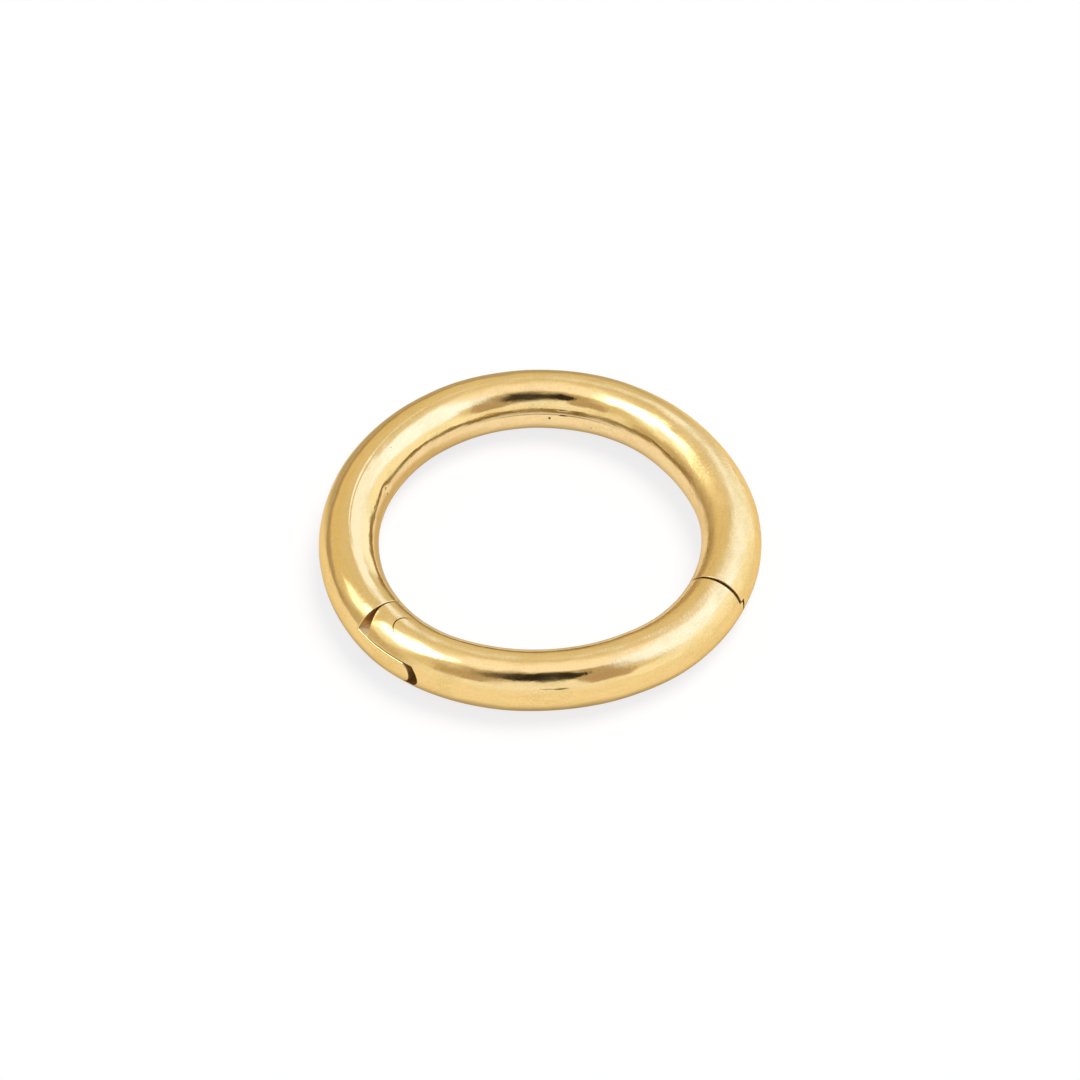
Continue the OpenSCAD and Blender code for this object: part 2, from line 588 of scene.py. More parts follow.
@dataclass
class WireStretch:
    """A stretch of round wire as rings of points joined by faces, open at both ends.

    Attributes:
        plan: the wire's plan.
        first_row: the plan's row that the stretch starts with.
        rows: how many rows it takes in.
        heights: heights over the wire's middle at which a line of edges runs along the wire.
        columns: points in a ring.
        ring_gap: about how far apart the rings are, in millimetres.
        round_steps: faces across a rounded edge.
        bm: the mesh, in millimetres.
        angles: each ring's angle.
        arounds: each column's place round the wire.
        verts: the point at each ring and column.
        faces: the face past each ring, in the band past each column.
    """

    plan: WirePlan
    first_row: int
    rows: int
    heights: Sequence[float]
    columns: int = 96
    ring_gap: float = 0.07
    round_steps: int = 3
    bm: bmesh.types.BMesh = field(init=False)
    angles: list[float] = field(init=False)
    arounds: list[float] = field(init=False)
    verts: dict[tuple[int, int], bmesh.types.BMVert] = field(init=False)
    faces: dict[tuple[int, int], bmesh.types.BMFace] = field(init=False)

    def __post_init__(self) -> None:
        """Spins the stretch and numbers its rings and columns."""
        self.bm = bmesh.new()
        self.bm.faces.layers.int.new("surface")
        ring = self.first_ring()
        self.angles = [self.plan.starts[self.first_row]]
        for step in range(self.rows):
            row = (self.first_row + step) % len(self.plan.rows)
            ring = self.spin_row(ring, row)
        self.number()

    @property
    def surface(self) -> bmesh.types.BMLayerItem:
        """The layer that says what each face is."""
        return self.bm.faces.layers.int["surface"]

    def first_ring(self) -> list[bmesh.types.BMElemSeq]:
        """Makes the ring of points that the stretch starts with.

        Returns:
            The ring's points and edges.
        """
        start = self.plan.starts[self.first_row]
        upright = Matrix.Rotation(math.radians(90), 4, "X")
        turned = Matrix.Rotation(math.radians(start), 4, "Z") @ upright
        place = Matrix.Translation(self.plan.centre_line(start)) @ turned
        radius = self.plan.wire_radius
        made = bmesh.ops.create_circle(self.bm, segments=self.columns, radius=radius, matrix=place)
        self.arounds = [360 * i / self.columns for i in range(self.columns)]
        for height in self.heights:
            rise = math.degrees(math.asin(height / radius))
            for around in (rise, 180 - rise, 180 + rise, 360 - rise):
                self.arounds[round(around * self.columns / 360)] = around
        for vert in made["verts"]:
            turn = self.plan.place(vert.co)[1]
            vert.co = self.plan.point(start, self.arounds[round(turn * self.columns / 360) % self.columns])
        return list(made["verts"]) + list(self.bm.edges)

    def spin_row(self, ring: list, row: int) -> list:
        """Spins a ring through one row of the plan.

        Args:
            ring: the points and edges of the ring to start from.
            row: the plan's row.

        Returns:
            The points and edges of the ring at the row's end.
        """
        radius = self.plan.radii[row]
        sweep = self.plan.rows[row].sweep
        steps = max(2, round(radius * math.radians(sweep) / self.ring_gap))
        first = self.angles[-1]
        spun = bmesh.ops.spin(
            self.bm,
            geom=ring,
            cent=self.plan.centres[row],
            axis=Vector((0, 0, 1)),
            angle=math.radians(sweep),
            steps=steps,
            use_merge=False,
        )
        self.angles += [first + sweep * (i + 1) / steps for i in range(steps)]
        return spun["geom_last"]

    def number(self) -> None:
        """Notes each point and face by its ring and column."""
        self.verts = {}
        self.faces = {}
        at = {}
        for vert in self.bm.verts:
            angle, around = self.plan.place(vert.co)
            ring = self.ring_at((angle - self.angles[0] + 1) % 360 + self.angles[0] - 1)
            apart = [abs(turn_to(around, place)) for place in self.arounds]
            at[vert] = (ring, apart.index(min(apart)))
            self.verts[at[vert]] = vert
        for face in self.bm.faces:
            ring = min(at[v][0] for v in face.verts)
            self.faces[ring, self.band({at[v][1] for v in face.verts})] = face

    def band(self, columns: set[int]) -> int:
        """The number of the band of faces between two neighbouring columns."""
        return self.columns - 1 if columns == {0, self.columns - 1} else min(columns)

    @property
    def last(self) -> int:
        """The number of the last ring."""
        return len(self.angles) - 1

    def ring_at(self, angle: float) -> int:
        """The number of the ring nearest to an angle."""
        return min(range(len(self.angles)), key=lambda i: abs(self.angles[i] - angle))

    def columns_to(self, height: float) -> int:
        """How many columns there are between the wire's middle and a height over it."""
        rise = math.degrees(math.asin(height / self.plan.wire_radius))
        return round(rise * self.columns / 360)

    def strips(self, height: float) -> tuple[list[int], list[int]]:
        """The columns within a height of the wire's middle, from the low edge to the high one.

        Args:
            height: half the height of the strips.

        Returns:
            The columns on the outside of the ring and those on the inside.
        """
        steps = range(-self.columns_to(height), self.columns_to(height) + 1)
        outer = [step % self.columns for step in steps]
        return outer, [self.columns // 2 - step for step in steps]

    def arch(self, height: float, under: bool) -> list[int]:
        """The columns above a height, or below it under the wire, from the outside to the inside.

        Args:
            height: the height over the wire's middle that the arch starts at.
            under: whether it is the arch under the wire.

        Returns:
            The columns' numbers.
        """
        count = self.columns_to(height)
        columns = list(range(count, self.columns // 2 - count + 1))
        return [(self.columns - c) % self.columns for c in columns] if under else columns

    def put(self, ring: int, column: int, angle: float) -> None:
        """Slides a point along the wire to an angle."""
        self.verts[ring, column].co = self.plan.point(angle, self.arounds[column])

    def spread(self, column: int, first: int, last: int, first_angle: float, last_angle: float) -> None:
        """Spaces a column's points evenly between two angles, from one ring to another."""
        for ring in range(first, last + 1):
            share = (ring - first) / (last - first)
            self.put(ring, column, first_angle + (last_angle - first_angle) * share)

    def drop(self, columns: Sequence[int], first: int, last: int) -> None:
        """Deletes the faces between two rings, in the band that neighbouring columns bound."""
        bands = [self.band({a, b}) for a, b in pairwise(columns)]
        chosen = [self.faces.pop((ring, band)) for band in bands for ring in range(first, last)]
        bmesh.ops.delete(self.bm, geom=chosen, context="FACES")

    def chain(self, places: Sequence[tuple[int, int]]) -> Edges:
        """The edges from one ring and column to the next."""
        return [self.bm.edges.get((self.verts[a], self.verts[b])) for a, b in pairwise(places)]

    def across(self, ring: int, columns: Sequence[int]) -> Edges:
        """The edges of a ring between neighbouring columns."""
        return self.chain([(ring, column) for column in columns])

    def along(self, column: int, first: int, last: int) -> Edges:
        """The edges of a column from one ring to another."""
        return self.chain([(ring, column) for ring in range(first, last + 1)])

    def cuts(self, columns: Sequence[int], span: tuple[float, float], depth: Depth) -> list[float]:
        """The angles at which a surface cuts some columns.

        Args:
            columns: the columns.
            span: two angles that the surface lies between.
            depth: how far a point is past the surface, negative before it.

        Returns:
            The angle for each column.
        """
        return [self.plan.meet(self.arounds[column], *span, depth) for column in columns]

    def trim(self, strips: Sequence[list[int]], span: tuple[float, float], depth: Depth,
             before: bool, least: int = 0) -> list[int]:
        """Trims two strips to a surface.

        Args:
            strips: the columns of each strip.
            span: two angles that the surface lies between.
            depth: how far a point is past the surface, negative before it.
            before: whether the faces before the surface go, and not those past it.
            least: the lowest ring that may be moved to the surface.

        Returns:
            The ring at the surface, for each strip.
        """
        rings = []
        for strip in strips:
            cuts = self.cuts(strip, span, depth)
            ring = max(self.ring_at(sum(cuts) / len(cuts)), least)
            for column, cut in zip(strip, cuts):
                self.put(ring, column, cut)
            first, last = (0, ring) if before else (ring, self.last)
            self.drop(strip, first, last)
            rings.append(ring)
        return rings

    def line(self, a: bmesh.types.BMVert, b: bmesh.types.BMVert) -> bmesh.types.BMEdge:
        """The straight edge between two points, made if it isn't there.

        Args:
            a: one point.
            b: the other point.

        Returns:
            The edge.
        """
        found = self.bm.edges.get((a, b))
        if found is not None:
            return found
        return bmesh.ops.contextual_create(self.bm, geom=[a, b])["edges"][0]

    def close(self, edges: Edges) -> None:
        """Fills a flat loop of edges with one face."""
        face = bmesh.ops.contextual_create(self.bm, geom=edges)["faces"][0]
        face[self.surface] = Surface.FLAT

    def round_edges(self, edges: Edges, radius: float) -> None:
        """Rounds sharp edges over.

        Args:
            edges: the edges.
            radius: how far the rounding reaches from the edge.
        """
        made = bmesh.ops.bevel(
            self.bm,
            geom=list(set(edges)),
            affect="EDGES",
            offset=radius,
            offset_type="OFFSET",
            segments=self.round_steps,
            profile=0.5,
            material=-1,
            loop_slide=True,
            clamp_overlap=True,
        )
        for face in made["faces"]:
            face[self.surface] = Surface.ROUNDED

    def close_cheek(self, ring: int, arch: Sequence[int], ends: Sequence[int],
                    foot: Sequence[bmesh.types.BMEdge] = ()) -> Cheek:
        """Closes the step and the flat that a cut leaves over it or under it.

        Args:
            ring: the ring at the step.
            arch: the columns over the cut, or under it.
            ends: the rings at the cut's far end, on the outside and on the inside.
            foot: the edges at the foot of the step, if the step is closed already.

        Returns:
            The cheek's edges.
        """
        rim = self.across(ring, arch)
        if not foot:
            foot = [self.line(self.verts[ring, arch[0]], self.verts[ring, arch[-1]])]
            self.close([*rim, *foot])
        sides = [e for c, end in zip((arch[0], arch[-1]), ends) for e in self.along(c, ring, end)]
        front = self.line(self.verts[ends[0], arch[0]], self.verts[ends[1], arch[-1]])
        self.close([*foot, front, *sides])
        return Cheek(rim, list(foot), sides, front)

    def bridge(self, rims: Sequence[Edges]) -> None:
        """Joins two chains or rings of edges by a wall."""
        made = bmesh.ops.bridge_loops(self.bm, edges=[*rims[0], *rims[1]])
        for face in made["faces"]:
            face[self.surface] = Surface.WALL

    def grow_wall(self, edges: Edges, level: float) -> tuple[list[bmesh.types.BMVert], Edges]:
        """Grows an upright wall from some edges.

        Args:
            edges: the edges.
            level: the height over the floor that the wall ends at.

        Returns:
            The points and the edges at the wall's end.
        """
        grown = bmesh.ops.extrude_edge_only(self.bm, edges=edges)["geom"]
        fresh = [g for g in grown if isinstance(g, bmesh.types.BMVert)]
        for vert in fresh:
            vert.co.z = level
        for face in (g for g in grown if isinstance(g, bmesh.types.BMFace)):
            face[self.surface] = Surface.WALL
        return fresh, [g for g in grown if isinstance(g, bmesh.types.BMEdge)]

    def bore_flats(self, pin: Station, height: float, rims: Sequence[Edges]) -> None:
        """Opens the two flats at plus and minus a height for a bore.

        Args:
            pin: the station at the bore's axis.
            height: the flats' height over and under the wire's middle.
            rims: the edges of the bore's rim on the upper flat and on the lower one.
        """
        for sign, rim in zip((1, -1), rims):
            level = self.plan.wire_radius + sign * height
            flats = [
                f
                for f in self.bm.faces
                if f[self.surface] == Surface.FLAT
                and abs(f.normal.z) > 0.99
                and abs(f.calc_center_median().z - level) < NEAR
                and (f.calc_center_median() - pin.origin).length < 2 * self.plan.wire_radius
            ]
            outline = list(flats[0].edges)
            bmesh.ops.delete(self.bm, geom=flats, context="FACES_ONLY")
            filled = bmesh.ops.triangle_fill(self.bm, edges=[*outline, *rim], use_beauty=True)
            for face in (g for g in filled["geom"] if isinstance(g, bmesh.types.BMFace)):
                face[self.surface] = Surface.FLAT


@dataclass
class MetalPiece:
    """What the ring's metal pieces share: finishing a mesh and handing it to the frame.

    Attributes:
        plan: the wire's plan.
        name: the piece's name.
        node: the frame's node that it stands for.
        body: the body that it rides on.
        slot: the name of a material slot; not used.
        skin: how far from the wire's middle a rounded edge counts as its surface, in radii.
    """

    plan: WirePlan
    name: str
    node: str
    body: str
    slot: str
    skin: float = 0.85

    def smooth_normals(self, bm: bmesh.types.BMesh) -> list[Vector]:
        """Puts the wire's points on its hand-finished surface and works out each corner's normal.

        Args:
            bm: the finished mesh, in millimetres.

        Returns:
            The normals of the faces' corners, in order.
        """
        surface = bm.faces.layers.int["surface"]
        on_wire = {v for f in bm.faces if f[surface] == Surface.WIRE for v in f.verts}
        wire_normal = {}
        for vert in on_wire:
            angle, around = self.plan.place(vert.co)
            vert.co = self.plan.finished_point(angle, around)
            wire_normal[vert] = self.plan.finished_normal(angle, around)
        rounded = {v for f in bm.faces if f[surface] == Surface.ROUNDED for v in f.verts}
        for vert in rounded - on_wire:
            angle, around = self.plan.place(vert.co)
            middle = self.plan.centre_line(angle)
            if (vert.co - middle).length > self.skin * self.plan.wire_radius:
                out = (self.plan.point(angle, around) - middle).normalized()
                vert.co += out * self.plan.relief(angle, around)
        bm.normal_update()

        def shared(vert: bmesh.types.BMVert, kind: Surface) -> Vector:
            """The sum of the normals of a point's faces of one kind, by area."""
            faces = [f for f in vert.link_faces if f[surface] == kind]
            return sum((f.normal * f.calc_area() for f in faces), Vector((0, 0, 0)))

        normals = []
        for face in bm.faces:
            kind = face[surface]
            for vert in face.verts:
                if kind == Surface.FLAT:
                    normal = face.normal
                elif kind == Surface.WALL:
                    normal = shared(vert, Surface.WALL)
                elif vert in wire_normal:
                    normal = wire_normal[vert]
                else:
                    flats = [f.normal for f in vert.link_faces if f[surface] == Surface.FLAT]
                    walls = shared(vert, Surface.WALL)
                    rounded = shared(vert, Surface.ROUNDED)
                    if flats:
                        normal = max(flats, key=lambda n: n.dot(rounded))
                    else:
                        normal = walls if walls.length > 0 else rounded
                normals.append(normal.normalized() if normal.length > 1e-12 else face.normal)
        return normals

    def lay_map(self, mesh: bpy.types.Mesh) -> None:
        """Gives the mesh a map whose u runs along the wire and v round it, in millimetres.

        Args:
            mesh: the mesh, in millimetres.
        """
        layer = mesh.uv_layers.new(name=WIRE_MAP)
        for polygon in mesh.polygons:
            places = [self.plan.place(mesh.vertices[v].co) for v in polygon.vertices]
            first = places[0]
            base = self.plan.length_at(first[0])
            radius = self.plan.radii[self.plan.row_at(first[0])]
            for loop, (angle, around) in zip(polygon.loop_indices, places):
                u = base + radius * math.radians(turn_to(first[0], angle))
                v = self.plan.wire_radius * math.radians(first[1] + turn_to(first[1], around))
                layer.uv[loop].vector = (u, v)

    def finish(self, bm: bmesh.types.BMesh, materials: Sequence[bpy.types.Material]) -> bpy.types.Object:
        """Makes the piece's object from its mesh and hands it to the frame.

        Args:
            bm: the mesh, in millimetres.
            materials: the material of the wire's surface, and the one for cut faces.

        Returns:
            The object.
        """
        bmesh.ops.remove_doubles(bm, verts=bm.verts, dist=WELD)
        bmesh.ops.recalc_face_normals(bm, faces=bm.faces)
        bm.verts.index_update()
        normals = self.smooth_normals(bm)
        surface = bm.faces.layers.int["surface"]
        for face in bm.faces:
            face.smooth = True
            face.material_index = 1 if face[surface] in (Surface.FLAT, Surface.WALL) else 0
        mesh = bpy.data.meshes.new(self.name)
        bm.to_mesh(mesh)
        open_edges = sum(1 for e in bm.edges if not e.is_manifold)
        bm.free()
        self.lay_map(mesh)
        mesh.transform(Matrix.Scale(MM, 4))
        mesh.normals_split_custom_set([tuple(n) for n in normals])
        for material in materials:
            mesh.materials.append(material)
        piece = bpy.data.objects.new(self.name, mesh)
        bpy.context.scene.collection.objects.link(piece)
        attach(piece, self.body)
        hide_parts(self.node)
        log.info("%s: %d faces, %d open edges", self.name, len(mesh.polygons), open_edges)
        return piece


@dataclass
class Hoop(MetalPiece):
    """The fixed part of the ring, with the hinge tongue at one end and the catch slot at the other."""

    hinge: HingeSizes = field(default_factory=HingeSizes)
    catch: CatchSizes = field(default_factory=CatchSizes)
    first_row: int = 0
    rows: int = 9
    edge_radius: float = 0.018
    hinge_edge: float = 0.022
    nose_rings: int = 7

    def build(self, materials: Sequence[bpy.types.Material]) -> bpy.types.Object:
        """Models the hoop and dresses it.

        Args:
            materials: the polished material, and the one for cut faces.

        Returns:
            The object.
        """
        half = self.hinge.tongue_t / 2
        slot_half = self.catch.tongue_t / 2 + self.catch.gap
        wire = WireStretch(self.plan, self.first_row, self.rows, (half, slot_half))
        hinge_edges = self.cut_tongue(wire, half)
        catch_edges = self.cut_catch_slot(wire, slot_half)
        wire.round_edges(hinge_edges, self.hinge_edge)
        wire.round_edges(catch_edges, self.edge_radius)
        self.bore_tongue(wire, half)
        return self.finish(wire.bm, materials)

    def cut_tongue(self, wire: WireStretch, half: float) -> Edges:
        """Cuts the shoulders and the hinge tongue.

        Args:
            wire: the stretch of wire to cut.
            half: half the tongue's thickness.

        Returns:
            The edges to round over.
        """
        sizes = self.hinge
        pin = sizes.pin_station(self.plan)
        shoulder = wire.ring_at(sizes.seam_angle)

        def past_nose(point: Vector) -> float:
            """How far a point is past the tongue's round nose."""
            seen = pin.local(point)
            swell = math.sqrt(max(sizes.nose_r**2 - seen.z**2, 0.0))
            return seen.x - (sizes.tongue_nose - sizes.nose_r + swell)

        for under in (False, True):
            wire.drop(wire.arch(half, under), shoulder, wire.last)
        strips = wire.strips(half)
        tips = []
        for strip in strips:
            noses = wire.cuts(strip, sizes.nose_span, past_nose)
            tip = wire.ring_at(noses[len(strip) // 2])
            base = tip - self.nose_rings
            for column, nose in zip(strip, noses):
                wire.spread(column, base, tip, wire.angles[base], nose)
            wire.drop(strip, tip, wire.last)
            tips.append(tip)
        chains = [wire.across(tip, strip) for tip, strip in zip(tips, strips)]
        wire.bridge(chains)
        cheeks = [wire.close_cheek(shoulder, wire.arch(half, under), tips) for under in (False, True)]
        return sum((cheek.rim + cheek.sides + [cheek.front] for cheek in cheeks), chains[0] + chains[1])

    def cut_catch_slot(self, wire: WireStretch, half: float) -> Edges:
        """Cuts the slanted slot that the catch tongue lies in.

        Args:
            wire: the stretch of wire to cut.
            half: half the slot's height.

        Returns:
            The edges to round over.
        """
        end = self.catch.station(self.plan)

        def past_slot(point: Vector) -> float:
            """How far a point is past the slot's closed end."""
            seen = end.local(point)
            return seen.x - self.catch.slot_at(seen.y, self.plan.wire_radius)

        strips = wire.strips(half)
        depths = wire.trim(strips, self.catch.slot_span, past_slot, before=True)
        chains = [wire.across(depth, strip) for depth, strip in zip(depths, strips)]
        cheeks = [wire.close_cheek(0, wire.arch(half, under), depths) for under in (False, True)]
        wire.close([*chains[0], *chains[1], *(cheek.front for cheek in cheeks)])
        return sum((cheek.rim + cheek.sides + cheek.foot for cheek in cheeks), chains[0] + chains[1])

    def bore_tongue(self, wire: WireStretch, half: float) -> None:
        """Bores the tongue for the pin.

        Args:
            wire: the stretch of wire to bore.
            half: half the tongue's thickness.
        """
        pin = self.hinge.pin_station(self.plan)
        radius = self.hinge.pin_d / 2 + self.hinge.running_gap
        rims = []
        for height in (half, -half):
            place = Matrix.Translation(pin.world(0, 0, height))
            made = bmesh.ops.create_circle(wire.bm, segments=BORE_SIDES, radius=radius, matrix=place)
            rims.append(list({e for v in made["verts"] for e in v.link_edges}))
        wire.bridge(rims)
        wire.bore_flats(pin, half, rims)


@dataclass
class Gate(MetalPiece):
    """The segment that swings open, with two ears at the hinge and a tongue at the catch."""

    hinge: HingeSizes = field(default_factory=HingeSizes)
    catch: CatchSizes = field(default_factory=CatchSizes)
    first_row: int = 8
    rows: int = 6
    edge_radius: float = 0.018
    hinge_edge: float = 0.024
    patch_reach: float = 0.36
    patch_steps: int = 4
    end_rings: int = 6

    def build(self, materials: Sequence[bpy.types.Material]) -> bpy.types.Object:
        """Models the gate and dresses it.

        Args:
            materials: the polished material, and the one for cut faces.

        Returns:
            The object.
        """
        slot_half = self.hinge.slot_half
        tongue_half = self.catch.tongue_t / 2
        wire = WireStretch(self.plan, self.first_row, self.rows, (slot_half, tongue_half))
        for under in (False, True):
            self.open_ear(wire, under)
        hinge_edges = self.cut_ears(wire, slot_half)
        catch_edges = self.cut_catch_tongue(wire, tongue_half)
        wire.round_edges(hinge_edges, self.hinge_edge)
        wire.round_edges(catch_edges, self.edge_radius)
        self.bore_ears(wire, slot_half)
        return self.finish(wire.bm, materials)

    @property
    def patch_turn(self) -> float:
        """How far the patch round the pin reaches to each side, in degrees along the wire."""
        return math.degrees(self.patch_reach / self.plan.radii[self.first_row])

    def open_ear(self, wire: WireStretch, under: bool) -> None:
        """Opens a round hole for the pin in an ear's outer surface.

        Args:
            wire: the stretch of wire to open.
            under: whether it is the ear under the slot.
        """
        pin = self.hinge.pin_station(self.plan)
        first = wire.ring_at(self.hinge.pin_angle - self.patch_turn)
        last = wire.ring_at(self.hinge.pin_angle + self.patch_turn)
        beside = wire.columns_to(self.patch_reach)
        top = 3 * wire.columns // 4 if under else wire.columns // 4
        columns = list(range(top - beside, top + beside + 1))
        loop = wire.across(first, columns) + wire.across(last, columns)
        loop += wire.along(columns[0], first, last) + wire.along(columns[-1], first, last)
        wire.drop(columns, first, last)
        starts = {v: pin.local(v.co) for e in loop for v in e.verts}
        for step in range(1, self.patch_steps + 1):
            share = step / self.patch_steps
            grown = bmesh.ops.extrude_edge_only(wire.bm, edges=loop)
            loop = [g for g in grown["geom"] if isinstance(g, bmesh.types.BMEdge)]
            moved = {}
            for vert in {v for e in loop for v in e.verts}:
                mate = next(e.other_vert(vert) for e in vert.link_edges if e.other_vert(vert) in starts)
                start = starts[mate]
                level = Vector((start.x, start.y, 0))
                reach = level.length + (self.hinge.ear_hole_r - level.length) * share
                vert.co = self.on_surface(pin, level.normalized() * reach, under)
                moved[vert] = start
            starts = moved

    def on_surface(self, pin: Station, spot: Vector, under: bool) -> Vector:
        """The point of the wire's surface over, or under, a spot in plan near the pin.

        Args:
            pin: the station at the pin's axis.
            spot: the spot as the station sees it.
            under: whether the point is on the wire's underside.

        Returns:
            The point, in millimetres.
        """
        flat = pin.world(spot.x, spot.y, 0)
        rise = self.plan.rise_over(flat, self.first_row)
        return flat + Vector((0, 0, -rise if under else rise))

    def cut_ears(self, wire: WireStretch, half: float) -> Edges:
        """Cuts the slot for the hinge tongue and shapes the ears' tails.

        Args:
            wire: the stretch of wire to cut.
            half: half the slot's height.

        Returns:
            The edges to round over.
        """
        sizes = self.hinge
        pin, seam = sizes.pin_station(self.plan), sizes.seam_station(self.plan)
        square = Station(pin.origin, sizes.seam_angle)
        tail = abs(square.local(seam.origin).x) - sizes.tail_gaps * sizes.seam_gap
        lean = math.tan(math.radians(sizes.slot_lean))

        def past_tail(point: Vector) -> float:
            """How far a point is past the end of an ear's tail."""
            seen = square.local(point)
            past_seam = seam.local(point).x - sizes.seam_gap
            if seen.y >= 0 or seen.x >= 0:
                return past_seam
            return min(past_seam, tail - math.hypot(seen.x, seen.y))

        def past_slot(point: Vector) -> float:
            """How far a point is past the slot's closed end, whose corners are round at the outside."""
            seen = pin.local(point)
            corner = sizes.slot_round * min(abs(seen.z) / half, 1.0) ** 2 if seen.y < 0 else 0.0
            return seen.x + corner - sizes.slot_reach - lean * (seen.y + self.plan.wire_radius)

        strips = wire.strips(half)
        ends = wire.trim(strips, sizes.slot_span, past_slot, before=True)
        for strip, end in zip(strips, ends):
            borders = (strip[0], strip[-1])
            base = end - self.end_rings
            for column, cut in zip(borders, wire.cuts(borders, sizes.slot_span, past_slot)):
                wire.spread(column, base, end, wire.angles[base], cut)
        settled = wire.ring_at(sizes.pin_angle - self.patch_turn)
        chains = [wire.across(end, strip) for end, strip in zip(ends, strips)]
        wire.bridge(chains)
        soft = chains[0] + chains[1]
        for under in (False, True):
            arch = wire.arch(half, under)
            for column, cut in zip(arch, wire.cuts(arch, sizes.tail_span, past_tail)):
                wire.spread(column, 0, settled, cut, wire.angles[settled])
            foot = self.drop_wall(wire, wire.across(0, arch), -half if under else half)
            cheek = wire.close_cheek(0, arch, ends, foot)
            soft += cheek.rim + cheek.sides
        return soft

    def drop_wall(self, wire: WireStretch, rim: Edges, height: float) -> Edges:
        """Makes the upright wall between an ear's rim and the slot.

        Args:
            wire: the stretch of wire.
            rim: the rim's edges.
            height: the slot face's height over the wire's middle.

        Returns:
            The edges at the wall's foot.
        """
        level = self.plan.wire_radius + height
        fresh, _ = wire.grow_wall(rim, level)
        welds = {}
        for vert in fresh:
            for mate in (e.other_vert(vert) for e in vert.link_edges):
                if mate not in fresh and (mate.co - vert.co).length < NEAR:
                    welds[vert] = mate
        feet = [v for v in fresh if v not in welds]
        bmesh.ops.weld_verts(wire.bm, targetmap=welds)
        return list({e for v in feet for e in v.link_edges if abs(e.other_vert(v).co.z - level) < NEAR})

    def cut_catch_tongue(self, wire: WireStretch, half: float) -> Edges:
        """Cuts the gate's leaning end and the catch tongue that reaches past it.

        Args:
            wire: the stretch of wire to cut.
            half: half the tongue's thickness.

        Returns:
            The edges to round over.
        """
        sizes = self.catch
        end = sizes.station(self.plan)
        lean = math.tan(math.radians(sizes.seam_open))

        def past_end(point: Vector) -> float:
            """How far a point is past the gate's leaning end."""
            seen = end.local(point)
            return seen.x + sizes.seam_gap + lean * (self.plan.wire_radius - seen.y)

        def past_tongue(point: Vector) -> float:
            """How far a point is past the tongue's slanted end."""
            seen = end.local(point)
            return seen.x - sizes.reach_at(seen.y, self.plan.wire_radius)

        seam = wire.ring_at(sizes.seam_angle)
        strips = wire.strips(half)
        tips = wire.trim(strips, sizes.tongue_span, past_tongue, before=False, least=seam + 1)
        chains = [wire.across(tip, strip) for tip, strip in zip(tips, strips)]
        cheeks = []
        for under in (False, True):
            arch = wire.arch(half, under)
            wire.drop(arch, seam, wire.last)
            base = seam - self.end_rings
            for column, cut in zip(arch, wire.cuts(arch, sizes.end_span, past_end)):
                wire.spread(column, base, seam, wire.angles[base], cut)
            cheeks.append(wire.close_cheek(seam, arch, tips))
        wire.close([*chains[0], *chains[1], *(cheek.front for cheek in cheeks)])
        return sum((cheek.rim + cheek.sides + [cheek.front] for cheek in cheeks), chains[0] + chains[1])

    def bore_ears(self, wire: WireStretch, half: float) -> None:
        """Bores the ears from the pin's holes down to the slot.

        Args:
            wire: the stretch of wire to bore.
            half: half the slot's height.
        """
        pin = self.hinge.pin_station(self.plan)
        radius = self.hinge.ear_hole_r
        rims = []
        for sign in (1, -1):
            rim = [
                e
                for e in wire.bm.edges
                if e.is_boundary
                and all(abs(pin.local(v.co).xy.length - radius) < NEAR for v in e.verts)
                and all(pin.local(v.co).z * sign > 0 for v in e.verts)
            ]
            rims.append(wire.grow_wall(rim, self.plan.wire_radius + sign * half)[1])
        wire.bore_flats(pin, half, rims)


